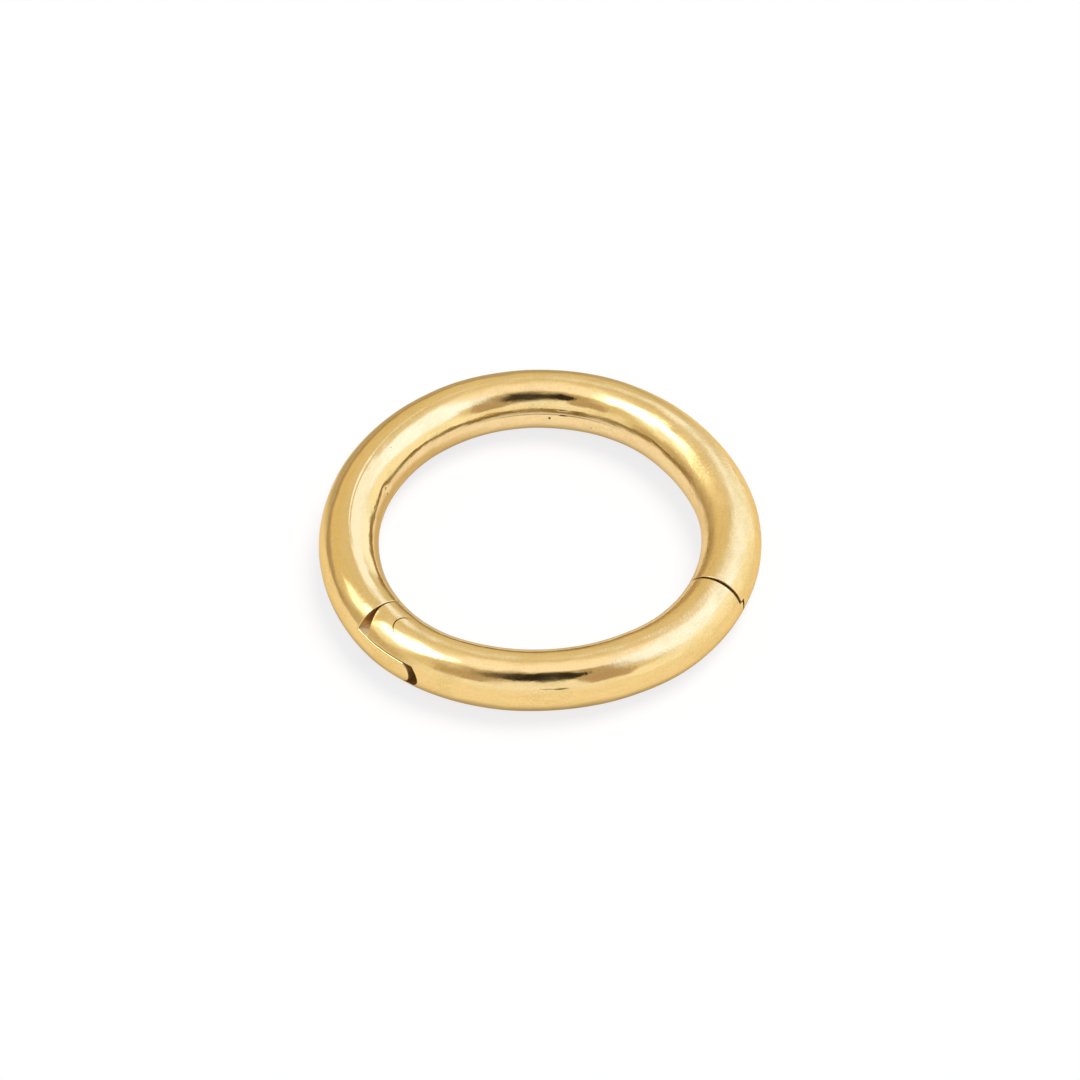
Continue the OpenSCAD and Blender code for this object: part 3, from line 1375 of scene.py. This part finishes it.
@dataclass
class HingePin(MetalPiece):
    """The pin through the ears and the tongue, dressed flush with the round wire."""

    hinge: HingeSizes = field(default_factory=HingeSizes)
    row: int = 8
    rim: float = 0.036
    rings: int = 6
    rim_rings: int = 3
    grown: float = 0.0095
    pushed: float = 0.0021
    pushed_toward: float = -28.0
    least_rim: float = 0.004

    def build(self, materials: Sequence[bpy.types.Material]) -> bpy.types.Object:
        """Models the pin and dresses it.

        Args:
            materials: the polished material, and the one for cut faces.

        Returns:
            The object.
        """
        axis = self.hinge.pin_station(self.plan)
        pin = Station(axis.origin + self.pushed * unit(self.pushed_toward), axis.angle)
        radius = self.hinge.pin_d / 2 + self.grown
        bm = bmesh.new()
        surface = bm.faces.layers.int.new("surface")
        flat = radius - self.rim
        spokes = [flat * i / self.rings for i in range(self.rings + 1)]
        turns = [math.radians(90 * i / self.rim_rings) for i in range(1, self.rim_rings + 1)]
        spokes += [flat + self.rim * math.sin(turn) for turn in turns]
        drops = [0.0] * (self.rings + 1) + [self.rim * (1 - math.cos(turn)) for turn in turns]
        points = [bm.verts.new(pin.world(s, 0, self.plan.wire_radius - d)) for s, d in zip(spokes, drops)]
        points.append(bm.verts.new(pin.world(radius, 0, 0)))
        edges = [bmesh.ops.contextual_create(bm, geom=list(pair))["edges"][0] for pair in pairwise(points)]
        bmesh.ops.spin(
            bm,
            geom=points + edges,
            cent=pin.origin,
            axis=Vector((0, 0, 1)),
            angle=math.radians(360),
            steps=BORE_SIDES,
            use_merge=True,
        )
        bmesh.ops.remove_doubles(bm, verts=bm.verts, dist=WELD)
        for vert in bm.verts:
            seen = pin.local(vert.co)
            if seen.z < 1e-6:
                continue
            open_side = -(vert.co - pin.origin).dot(unit(self.pushed_toward)) / radius
            kept = self.least_rim + (1 - self.least_rim) * max(open_side, 0.0) ** 3
            vert.co.z += (1 - kept) * (self.plan.wire_radius - seen.z)
            vert.co.z -= self.plan.wire_radius - self.plan.rise_over(vert.co, self.row)
        for face in bm.faces:
            reach = pin.local(face.calc_center_median()).xy.length
            face[surface] = Surface.WIRE if reach < flat else Surface.ROUNDED
            if all(abs(pin.local(v.co).xy.length - radius) < WELD for v in face.verts):
                face[surface] = Surface.WALL
        whole = [*bm.verts, *bm.edges, *bm.faces]
        mirror = Matrix.Translation(-pin.origin)
        bmesh.ops.mirror(bm, geom=whole, matrix=mirror, merge_dist=WELD, axis="Z")
        return self.finish(bm, materials)


@dataclass(frozen=True)
class Pattern:
    """A pattern of noise in the metal's finish.

    Attributes:
        along: features in a millimetre, along the wire where the pattern follows it.
        around: features in a millimetre in the other directions.
        detail: octaves of finer features.
        low: the noise at which the pattern begins to show.
        high: the noise at which it shows in full.
    """

    along: float
    around: float
    detail: float
    low: float = 0.0
    high: float = 1.0


@dataclass
class NodeBench:
    """Helps to lay out a node tree.

    Attributes:
        tree: the tree.
    """

    tree: bpy.types.NodeTree

    @classmethod
    def emptied(cls, owner: Union[bpy.types.Material, bpy.types.World]) -> "NodeBench":
        """The bench for a material's or a world's node tree, emptied first."""
        owner.use_nodes = True
        owner.node_tree.nodes.clear()
        return cls(owner.node_tree)

    def feed(self, value: Value, end: Socket) -> None:
        """Links a socket to another one, or sets it to a number, a vector or a colour.

        Args:
            value: the other socket, or what the socket is set to.
            end: the socket.
        """
        if isinstance(value, bpy.types.NodeSocket):
            self.tree.links.new(value, end)
        elif isinstance(value, tuple) and len(value) < len(end.default_value):
            end.default_value = (*value, 1.0)
        else:
            end.default_value = value

    def node(self, kind: str, output: Union[str, int], inputs: dict[Union[str, int], Value],
             **options: str) -> Socket:
        """Adds a node and feeds it.

        Args:
            kind: the node's kind.
            output: which of its outputs is wanted.
            inputs: what each input is fed.
            options: the node's own settings.

        Returns:
            The output's socket.
        """
        made = self.tree.nodes.new(kind)
        for name, option in options.items():
            setattr(made, name, option)
        for key, value in inputs.items():
            self.feed(value, made.inputs[key])
        return made.outputs[output]

    def show(self, surface: Socket, kind: str = "ShaderNodeOutputMaterial") -> None:
        """Links a surface to an output node."""
        self.feed(surface, self.tree.nodes.new(kind).inputs["Surface"])

    def maths(self, operation: str, *values: Value) -> Socket:
        """One step of arithmetic."""
        return self.node("ShaderNodeMath", "Value", dict(enumerate(values)), operation=operation)

    def times(self, value: Value, factor: Value) -> Socket:
        """A value times another."""
        return self.maths("MULTIPLY", value, factor)

    def sum(self, *values: Value) -> Socket:
        """The sum of several values."""
        return reduce(lambda total, value: self.maths("ADD", total, value), values)

    def length(self, vector: Socket) -> Socket:
        """A vector's length."""
        return self.node("ShaderNodeVectorMath", "Value", {0: vector}, operation="LENGTH")

    def dot(self, vector: Socket, axis: Vector) -> Socket:
        """How far a vector reaches along an axis."""
        return self.node("ShaderNodeVectorMath", "Value", {0: vector, 1: axis}, operation="DOT_PRODUCT")

    def scaled(self, vector: Socket, scale: Triple, move: Triple = (0.0, 0.0, 0.0)) -> Socket:
        """A vector stretched along its axes and then moved."""
        inputs = {"Vector": vector, "Scale": scale, "Location": move}
        return self.node("ShaderNodeMapping", "Vector", inputs)

    def ramp(self, value: Socket, low: float, high: float) -> Socket:
        """A value's smooth rise from 0 at low to 1 at high."""
        ends = {"Value": value, "From Min": low, "From Max": high}
        return self.node("ShaderNodeMapRange", "Result", ends, interpolation_type="SMOOTHSTEP")

    def mix(self, share: Socket, low: float, high: float) -> Socket:
        """A number that runs from low to high with a share."""
        ends = {"Value": share, "To Min": low, "To Max": high}
        return self.node("ShaderNodeMapRange", "Result", ends)

    def blend(self, share: Socket, colour: Value, other: Value, way: str = "MIX") -> Socket:
        """A colour that turns into another, or is multiplied by it, with a share.

        Args:
            share: the share of the other colour.
            colour: the colour at a share of 0.
            other: the other colour.
            way: MIX, or MULTIPLY.

        Returns:
            The colour's socket.
        """
        ends = {0: share, 6: colour, 7: other}
        return self.node("ShaderNodeMix", 2, ends, data_type="RGBA", blend_type=way)

    def noise(self, vector: Socket, pattern: Pattern) -> Socket:
        """A pattern's noise, of about 0 to 1, on coordinates in millimetres."""
        spot = self.scaled(vector, (pattern.along, pattern.around, pattern.around))
        inputs = {"Vector": spot, "Scale": 1.0, "Detail": pattern.detail}
        return self.node("ShaderNodeTexNoise", "Fac", inputs)

    def shown(self, vector: Socket, pattern: Pattern) -> Socket:
        """How much of a pattern shows, from 0 to 1, on coordinates in millimetres."""
        return self.ramp(self.noise(vector, pattern), pattern.low, pattern.high)

    def wrap(self, flow: Socket, radius: float) -> Socket:
        """The map along and round a wire, bent round so that it meets itself.

        Args:
            flow: the map, in millimetres.
            radius: the wire's radius.

        Returns:
            The bent map's socket.
        """
        parts = self.tree.nodes.new("ShaderNodeSeparateXYZ")
        self.feed(flow, parts.inputs["Vector"])
        turn = self.times(parts.outputs["Y"], 1 / radius)
        across, up = (self.times(self.maths(wave, turn), radius) for wave in ("COSINE", "SINE"))
        return self.node("ShaderNodeCombineXYZ", "Vector", {0: parts.outputs["X"], 1: across, 2: up})


@dataclass(frozen=True)
class SatinSide:
    """The part of the ring, towards +X, that is satin where the rest is polished.

    Attributes:
        begins: where it begins to turn satin, in millimetres from the middle of the ring.
        full: where it is wholly satin.
        roughness: how rough it is there.
        grain: the height of its grain, in micrometres.
        streaks: the height of its streaks along the wire, in micrometres.
        worn: how much more its colour is mottled there.
        wander: how far its border wanders to each side, in millimetres.
        border: the pattern that its border wanders with.
        streak_lines: the pattern of its streaks.
    """

    begins: float = 1.9
    full: float = 3.3
    roughness: float = 0.30
    grain: float = 3.2
    streaks: float = 6.0
    worn: float = 0.15
    wander: float = 0.8
    border: Pattern = Pattern(0.9, 0.9, 2)
    streak_lines: Pattern = Pattern(1.1, 9.0, 4)


@dataclass(frozen=True)
class GoldFinish:
    """A finish of yellow gold.

    Attributes:
        name: the material's name.
        colour: the metal's colour.
        polish: its roughness where it is brightest.
        satin: its roughness where it is dullest.
        grain: the height of the satin grain, in micrometres.
        lines: the height of the brush lines along the wire, in micrometres.
        swell: the height of the waves left by hand, in micrometres.
        worn: how strongly fine wear dulls the gold, from 0 to 1.
        worn_rough: how much rougher it is where it is worn.
        edge: the metal's tint where it is seen from the side.
        dulled: the share of the colour that is left where the wear is strongest.
        dirt: the colour of the dirt in the marks.
        mark_edge: where a mark's soft edge ends and begins, in half lengths from its middle.
        side: the satin side, if the piece has one.
        marks: small marks in the finish.
        dull_parts: the pattern of the dullest parts.
        grain_dots: the pattern of the satin grain.
        brush_lines: the pattern of the brush lines.
        hand_waves: the pattern of the waves left by hand.
        worn_spots: the pattern of the wear.
        specks: the pattern of the finest wear.
    """

    name: str
    colour: Triple = (1.0, 0.69, 0.275)
    polish: float = 0.07
    satin: float = 0.16
    grain: float = 1.0
    lines: float = 0.8
    swell: float = 13.0
    worn: float = 0.6
    worn_rough: float = 0.03
    edge: Triple = (0.93, 0.79, 0.56)
    dulled: Triple = (0.79, 0.79, 0.68)
    dirt: Triple = (0.13, 0.08, 0.035)
    mark_edge: tuple[float, float] = (1.25, 0.45)
    side: Optional[SatinSide] = None
    marks: Sequence[Mark] = ()
    dull_parts: Pattern = Pattern(1.1, 1.1, 3, 0.42, 0.62)
    grain_dots: Pattern = Pattern(17, 17, 3)
    brush_lines: Pattern = Pattern(0.7, 24, 3)
    hand_waves: Pattern = Pattern(1.5, 3.4, 1.5)
    worn_spots: Pattern = Pattern(3.0, 9.0, 5, 0.36, 0.66)
    specks: Pattern = Pattern(22, 22, 3, 0.38, 0.66)

    def material(self, plan: WirePlan) -> bpy.types.Material:
        """Makes the material.

        Args:
            plan: the wire's plan, which the marks are placed on.

        Returns:
            The material.
        """
        made = bpy.data.materials.new(self.name)
        bench = NodeBench.emptied(made)
        spot = bench.scaled(bench.node("ShaderNodeTexCoord", "Object", {}), (1 / MM, 1 / MM, 1 / MM))
        flow = bench.node("ShaderNodeUVMap", "UV", {}, uv_map=WIRE_MAP)
        tube = bench.wrap(flow, plan.wire_radius)

        dull = bench.shown(spot, self.dull_parts)
        mottle = bench.shown(tube, self.worn_spots)
        wear = bench.sum(bench.times(mottle, 0.5), bench.times(bench.shown(spot, self.specks), 0.5))
        amount = bench.mix(dull, 0.5 * self.worn, self.worn)
        rough = bench.sum(bench.mix(dull, self.polish, self.satin), bench.times(mottle, self.worn_rough))
        grain = bench.noise(spot, self.grain_dots)
        heights = [
            bench.times(bench.noise(tube, self.hand_waves), self.swell),
            bench.times(grain, self.grain),
            bench.times(bench.noise(tube, self.brush_lines), self.lines),
        ]
        if self.side is not None:
            side = self.side
            wander = bench.mix(bench.noise(spot, side.border), -side.wander, side.wander)
            share = bench.ramp(bench.sum(bench.dot(spot, unit(0)), wander), side.begins, side.full)
            streaks = bench.times(bench.noise(tube, side.streak_lines), side.streaks)
            heights.append(bench.times(share, bench.sum(bench.times(grain, side.grain), streaks)))
            rough = bench.sum(rough, bench.times(share, side.roughness - self.satin))
            amount = bench.sum(amount, bench.times(share, side.worn))
        dirty = []
        for mark in self.marks:
            share = self.lay_mark(bench, flow, plan, mark)
            heights.append(bench.times(share, mark.height))
            if mark.dirt > 0:
                dirty.append(bench.times(share, mark.dirt))

        dull_gold = tuple(part * left for part, left in zip(self.colour, self.dulled))
        gold = bench.blend(bench.times(wear, amount), self.colour, dull_gold)
        if dirty:
            gold = bench.blend(bench.sum(*dirty), gold, self.dirt)
        bump = {"Strength": 1.0, "Distance": MICROMETRE, "Height": bench.sum(*heights)}
        metal = {
            "Metallic": 1.0,
            "Specular Tint": self.edge,
            "Base Color": gold,
            "Roughness": rough,
            "Normal": bench.node("ShaderNodeBump", "Normal", bump),
        }
        bench.show(bench.node("ShaderNodeBsdfPrincipled", "BSDF", metal))
        return made

    def lay_mark(self, bench: NodeBench, flow: Socket, plan: WirePlan, mark: Mark) -> Socket:
        """Draws one mark as a share that is 1 in its middle and 0 outside it.

        Args:
            bench: the material's node tree.
            flow: the piece's map along and round the wire.
            plan: the wire's plan.
            mark: the mark.

        Returns:
            The share's socket.
        """
        u = plan.length_at(mark.angle)
        v = plan.wire_radius * math.radians(mark.around)
        middle = (-u / mark.long, -v / mark.wide, 0.0)
        apart = bench.scaled(flow, (1 / mark.long, 1 / mark.wide, 1.0), middle)
        return bench.ramp(bench.length(apart), *self.mark_edge)


@dataclass(frozen=True)
class LightPatch:
    """A softbox, or a dull thing in its way, placed by where the ring sees it.

    Attributes:
        name: what it is.
        azimuth: degrees clockwise from straight away from the camera.
        elevation: degrees above the floor.
        wide: its width, in degrees.
        tall: its height, in degrees.
        radiance: how bright it is in red, green and blue.
        soft: how wide its soft edge is, in degrees.
        corners: how square its corners are, from 2 for an ellipse upwards.
        ahead: how far ahead a direction is where the patch begins and where it is full, as a cosine.
    """

    name: str
    azimuth: float
    elevation: float
    wide: float
    tall: float
    radiance: Triple
    soft: float = 8.0
    corners: float = 4.0
    ahead: Pair = (0.0, 0.05)

    @property
    def axes(self) -> tuple[Vector, Vector, Vector]:
        """The directions towards the patch, to its right and over it."""
        azimuth, elevation = math.radians(self.azimuth), math.radians(self.elevation)
        level = Vector((math.sin(azimuth), math.cos(azimuth), 0))
        toward = level * math.cos(elevation) + Vector((0, 0, math.sin(elevation)))
        right = Vector((level.y, -level.x, 0))
        return toward, right, right.cross(toward)


@dataclass
class Studio:
    """The plain floor, the soft light tent and the camera at the photograph's angle.

    The ring sees the tent and a glowing floor with painted light and shade on it: painted shade far
    behind the ring, under it and inside it towards the left and the camera, and painted bluish light
    elsewhere inside it. The camera sees the floor and what is past it as plain paper. Places on the
    floor are in millimetres from the middle of the ring, and pairs of places are where one painted
    tone begins to give way to another and where it has given way.

    Attributes:
        elevation: how high the camera is over the floor, in degrees.
        distance: how far the camera is from what it looks at, in metres.
        focal: the camera's focal length, in millimetres.
        aim_height: how high over the floor it looks, in metres.
        shift: how far its picture is moved right and up, as shares of the width.
        floor_size: the floor's side, in metres.
        front_paper: the floor that the ring sees.
        far_floor_painted_shade: painted shade on the floor behind the ring, towards far_angle.
        far_side: the far painted shade by its direction, as a cosine, and by its distance.
        hole_painted_bluish_light: painted bluish light on the floor inside the ring.
        left_hole_painted_shade: painted shade on the floor inside the ring, towards left_angle.
        near_hole_painted_shade: painted shade on the floor inside the ring, towards the camera.
        hole_edge: the ring's inner edge on the floor.
        left_side: the left painted shade inside the ring, by how far it is towards left_angle.
        near_side: the near painted shade inside the ring, by how far it is towards the camera.
        open_floor: how bright the lit floor is.
        under_ring: how bright it is in the painted shade round the ring's foot.
        under_edges: the painted shade's inner edge and its outer edge.
        lit_shade: how much of the tent's light the lit floor adds.
        seen_floor: how much of the tent's light the camera's floor adds.
        seen_white: the light that the camera's floor gives by itself.
        past_floor: what the camera sees past the floor.
        second_look: what is left of the light where one reflection shows in another.
        second_turn: the count of reflections at which that begins and is full.
        tent: the tent's light, from level (0) to straight up (1).
        patches: softboxes and dull things, each laid over the ones before.
        key_fill: the tent's even light on the floor.
        key: the lamp that the ring's soft shadow on the floor comes from.
    """

    elevation: float = 47.5
    distance: float = 0.0875
    focal: float = 147.93
    aim_height: float = 0.0006
    shift: tuple[float, float] = (-0.0001, -0.0043)
    floor_size: float = 6.0
    front_paper: Triple = (0.95, 0.95, 0.97)
    far_floor_painted_shade: Triple = (0.36, 0.36, 0.38)
    far_angle: float = 112.0
    far_side: tuple[Pair, Pair] = ((0.55, 0.90), (4.0, 7.0))
    hole_painted_bluish_light: Triple = (1.00, 1.06, 1.42)
    left_hole_painted_shade: Triple = (0.60, 0.54, 0.48)
    near_hole_painted_shade: Triple = (0.56, 0.64, 0.90)
    hole_edge: Pair = (3.7, 2.7)
    left_angle: float = 167.0
    left_side: Pair = (1.2, 2.3)
    near_side: Pair = (-0.8, 0.5)
    open_floor: float = 0.70
    under_ring: float = 0.38
    under_edges: tuple[Pair, Pair] = ((3.0, 3.5), (4.75, 4.2))
    lit_shade: Triple = (0.27, 0.27, 0.27)
    seen_floor: Triple = (0.30, 0.275, 0.235)
    seen_white: Triple = (0.724, 0.748, 0.785)
    past_floor: Triple = (1.0, 1.0, 1.0)
    second_look: Triple = (0.42, 0.46, 0.62)
    second_turn: Pair = (1.2, 1.8)
    tent: Sequence[tuple[float, Triple]] = (
        (0.0, (0.56, 0.56, 0.56)),
        (0.19, (0.70, 0.70, 0.68)),
        (0.60, (0.76, 0.75, 0.68)),
        (0.78, (0.72, 0.70, 0.64)),
        (0.87, (0.78, 0.78, 0.78)),
        (0.93, (0.95, 0.96, 1.05)),
        (0.97, (1.03, 1.08, 1.38)),
        (1.0, (1.03, 1.08, 1.38)),
    )
    patches: Sequence[LightPatch] = (
        LightPatch("front paper", 188, 14, 100, 44, (0.92, 0.96, 1.02), 12),
        LightPatch("lit front paper", 182, 24, 60, 24, (0.95, 1.04, 1.30), 10),
        LightPatch("right tent wall", 92, 10, 100, 50, (1.02, 1.12, 1.26), 16),
        LightPatch("far right gap", 40, 12, 24, 44, (1.04, 1.25, 1.80), 10),
        LightPatch("right softbox", 84, 52, 60, 40, (1.12, 1.45, 2.60), 12),
        LightPatch("glow under the left softbox", 272, 44, 36, 32, (1.05, 1.15, 1.35), 14),
        LightPatch("left softbox", 277, 60, 30, 26, (3.4, 3.7, 4.8), 5),
        LightPatch("far right screen", 29, 40, 38, 27, (1.04, 1.28, 2.05), 7),
        LightPatch("left wall", 318, 27, 56, 32, (0.74, 0.68, 0.53), 16),
        LightPatch("low left glow", 291, 38, 13, 13, (1.90, 2.05, 2.30), 4),
        LightPatch("left dull wall", 262, 14, 46, 16, (0.60, 0.54, 0.44), 8),
        LightPatch("far edge of the paper", 316, 4, 82, 18, (0.45, 0.39, 0.33), 8),
        LightPatch("right arm", 149, 38, 20, 38, (0.48, 0.41, 0.36), 4),
        LightPatch("left arm", 211, 38, 24, 27, (0.50, 0.43, 0.36), 5),
        LightPatch("shade round the camera", 178, 58, 48, 36, (0.50, 0.46, 0.40), 6, 2.5),
        LightPatch("camera", 178, 54, 35, 32, (0.030, 0.028, 0.030), 3, 1.7),
    )
    key_fill: float = 0.4
    key: LightPatch = LightPatch("key light on the floor", 60, 68, 36, 34, (5.9, 5.9, 5.9), 16)

    def build(self) -> None:
        """Makes the floor, the tent of light and the camera."""
        self.build_floor()
        self.build_tent()
        self.build_camera()

    def build_floor(self) -> None:
        """Makes the floor, whose surface is at the frame's zero height."""
        bm = bmesh.new()
        bmesh.ops.create_grid(bm, x_segments=1, y_segments=1, size=self.floor_size / 2)
        mesh = bpy.data.meshes.new("floor")
        bm.to_mesh(mesh)
        bm.free()
        material = bpy.data.materials.new("floor_paper_with_painted_light")
        mesh.materials.append(material)
        bench = NodeBench.emptied(material)
        spot = bench.scaled(bench.node("ShaderNodeTexCoord", "Object", {}), (1 / MM, 1 / MM, 1 / MM))
        reach = bench.length(spot)
        # The floor's glow for the ring, with painted light and shade laid on it by place.
        strength, colour = self.painted_floor_light(bench, spot, reach)
        glow = bench.node("ShaderNodeEmission", "Emission", {"Strength": strength, "Color": colour})
        white = bench.node("ShaderNodeEmission", "Emission", {"Color": self.seen_white})
        sides = []
        # The ring sees the glow with its painted light and shade; the camera sees plain white paper.
        for light, paper in ((glow, self.lit_shade), (white, self.seen_floor)):
            shaded = bench.node("ShaderNodeBsdfDiffuse", "BSDF", {"Color": paper})
            sides.append(bench.node("ShaderNodeAddShader", "Shader", {0: light, 1: shaded}))
        camera = bench.node("ShaderNodeLightPath", "Is Camera Ray", {})
        bench.show(bench.node("ShaderNodeMixShader", "Shader", {0: camera, 1: sides[0], 2: sides[1]}))
        floor = bpy.data.objects.new("floor", mesh)
        bpy.context.scene.collection.objects.link(floor)

    def painted_floor_light(self, bench: NodeBench, spot: Socket, reach: Socket) -> tuple[Socket, Socket]:
        """How bright the glowing floor is, and its colour, with its painted light and shade.

        Args:
            bench: the floor's node tree.
            spot: the place on the floor.
            reach: how far the place is from the middle of the ring.

        Returns:
            The brightness's socket and the colour's.
        """
        # Painted shade on the floor far behind the ring, then painted bluish light and painted shade on
        # the floor inside it.
        by_angle, by_reach = self.far_side
        away = bench.maths("DIVIDE", bench.dot(spot, unit(self.far_angle)), reach)
        far = bench.times(bench.ramp(away, *by_angle), bench.ramp(reach, *by_reach))
        paper = bench.blend(far, self.front_paper, self.far_floor_painted_shade)
        left = bench.ramp(bench.dot(spot, unit(self.left_angle)), *self.left_side)
        hole = bench.blend(left, self.hole_painted_bluish_light, self.left_hole_painted_shade)
        near = bench.ramp(bench.dot(spot, unit(270)), *self.near_side)
        hole = bench.blend(near, hole, self.near_hole_painted_shade)
        paper = bench.blend(bench.ramp(reach, *self.hole_edge), paper, hole)
        # Painted shade in a band round the ring's foot, inside and outside.
        inner, outer = (bench.ramp(reach, *edge) for edge in self.under_edges)
        strength = bench.mix(bench.times(inner, outer), self.open_floor, self.under_ring)
        return strength, self.seen_again(bench, paper)

    def seen_again(self, bench: NodeBench, light: Socket) -> Socket:
        """A light, dimmed and tinted where one reflection shows in another."""
        turn = bench.node("ShaderNodeLightPath", "Glossy Depth", {})
        return bench.blend(bench.ramp(turn, *self.second_turn), light, self.second_look, "MULTIPLY")

    def build_tent(self) -> None:
        """Makes the light tent: a soft gradient with the patches over it, one after another."""
        world = bpy.data.worlds.new("tent")
        bench = NodeBench.emptied(world)
        look = bench.node("ShaderNodeTexCoord", "Generated", {})
        rise = bench.tree.nodes.new("ShaderNodeValToRGB")
        bench.feed(bench.node("ShaderNodeSeparateXYZ", "Z", {"Vector": look}), rise.inputs["Fac"])
        stops = rise.color_ramp.elements
        while len(stops) < len(self.tent):
            stops.new(0.5)
        for stop, (where, level) in zip(stops, self.tent):
            stop.position = where
            stop.color = (*level, 1)
        light = rise.outputs["Color"]
        for patch in self.patches:
            light = self.lay_patch(bench, look, light, patch)
        on_floor = self.lay_patch(bench, look, (self.key_fill, self.key_fill, self.key_fill), self.key)
        glossy = bench.node("ShaderNodeLightPath", "Is Glossy Ray", {})
        light = self.seen_again(bench, bench.blend(glossy, on_floor, light))
        camera = bench.node("ShaderNodeLightPath", "Is Camera Ray", {})
        behind = bench.blend(camera, light, self.past_floor)
        background = bench.node("ShaderNodeBackground", "Background", {"Color": behind})
        bench.show(background, "ShaderNodeOutputWorld")
        world.cycles.sampling_method = "NONE"
        bpy.context.scene.world = world

    def lay_patch(self, bench: NodeBench, look: Socket, light: Value, patch: LightPatch) -> Socket:
        """Lays one patch over the light so far.

        Args:
            bench: the tent's node tree.
            look: the direction.
            light: the light so far.
            patch: the patch.

        Returns:
            The light with the patch.
        """
        toward, right, over = patch.axes
        depth = bench.dot(look, toward)
        parts = []
        for axis, size in ((right, patch.wide), (over, patch.tall)):
            side = bench.maths("ABSOLUTE", bench.maths("DIVIDE", bench.dot(look, axis), depth))
            share = bench.times(side, 1 / math.tan(math.radians(size / 2)))
            parts.append(bench.maths("POWER", share, patch.corners))
        apart = bench.maths("POWER", bench.sum(*parts), 1 / patch.corners)
        soft = patch.soft / min(patch.wide, patch.tall)
        share = bench.times(bench.ramp(depth, *patch.ahead), bench.ramp(apart, 1 + soft, 1 - soft))
        return bench.blend(share, light, patch.radiance)

    def build_camera(self) -> None:
        """Puts the camera at the photograph's angle."""
        data = bpy.data.cameras.new("camera")
        data.lens = self.focal
        data.sensor_width = 36.0
        data.shift_x, data.shift_y = self.shift
        data.clip_start, data.clip_end = 0.002, 20.0
        camera = bpy.data.objects.new("camera", data)
        elevation = math.radians(self.elevation)
        back = Vector((0, -math.cos(elevation), math.sin(elevation)))
        camera.location = Vector((0, 0, self.aim_height)) + back * self.distance
        camera.rotation_mode = "QUATERNION"
        camera.rotation_quaternion = back.to_track_quat("Z", "Y")
        bpy.context.scene.collection.objects.link(camera)
        bpy.context.scene.camera = camera
        bpy.context.scene.view_settings.view_transform = "Standard"
        bpy.context.scene.view_settings.look = "None"


def main() -> None:
    """Builds the ring's pieces and the studio, in order."""
    logging.basicConfig(level=logging.INFO, format="%(name)s: %(message)s")
    plan = WirePlan()
    hoop_marks = (
        Mark(86.4, 175.7, 0.034, 0.034, 0.95, -7),
        Mark(70.9, 187.3, 0.022, 0.022, 0.55, -3),
        # The dashes at 81 to 82 degrees and the long thin line at 84 degrees make the inside of the back
        # darker in thin lines along the wire.
        Mark(81.9, 156.5, 0.13, 0.022, 0.65, -2),
        Mark(81.4, 167.1, 0.11, 0.018, 0.75, -2),
        Mark(160.6, 151.6, 0.040, 0.030, 0.45, -5),
        Mark(161.1, 164.5, 0.035, 0.030, 0.40, -5),
        Mark(170.9, 142.6, 0.060, 0.022, 0.75, -3),
        Mark(20.8, 53.6, 0.12, 0.020, 0.35, -3),
        Mark(16.1, 50.5, 0.10, 0.018, 0.35, -3),
        Mark(22.0, 108.2, 0.030, 0.022, 0.0, 3),
        Mark(147.6, 111.3, 0.020, 0.020, 0.35, -2),
        Mark(140.0, 93.5, 2.7, 0.032, 0.0, -4.0),
        Mark(84.0, 166.0, 1.9, 0.016, 0.28, -1),
    )
    gate_marks = (
        Mark(276.2, 30.5, 0.15, 0.018, 0.85, -2.5),
        Mark(273.2, 31.5, 0.14, 0.013, 0.45, -1.5),
        Mark(311.9, 344.4, 0.022, 0.022, 0.35, -2),
    )
    side = SatinSide()
    polished = GoldFinish("polished_gold", side=side, marks=hoop_marks).material(plan)
    gate_side = SatinSide(begins=1.5, full=3.0)
    brushed = GoldFinish(
        "brushed_gold", polish=0.09, satin=0.18, lines=0.5, side=gate_side, marks=gate_marks
    ).material(plan)
    cut = GoldFinish("cut_gold", (1.0, 0.73, 0.36), polish=0.34, satin=0.42, swell=0.0).material(plan)
    pin_gold = GoldFinish("pin_gold").material(plan)
    Hoop(plan, "hoop_gold_wire", "hoop", "hoop", "hoop_gold").build((polished, cut))
    Gate(plan, "gate_gold_wire", "gate", "gate", "gate_gold").build((brushed, cut))
    HingePin(plan, "hinge_pin_gold", "hinge_pin", "gate", "pin_gold").build((pin_gold, cut))
    Studio().build()


if __name__ == "__main__":
    main()
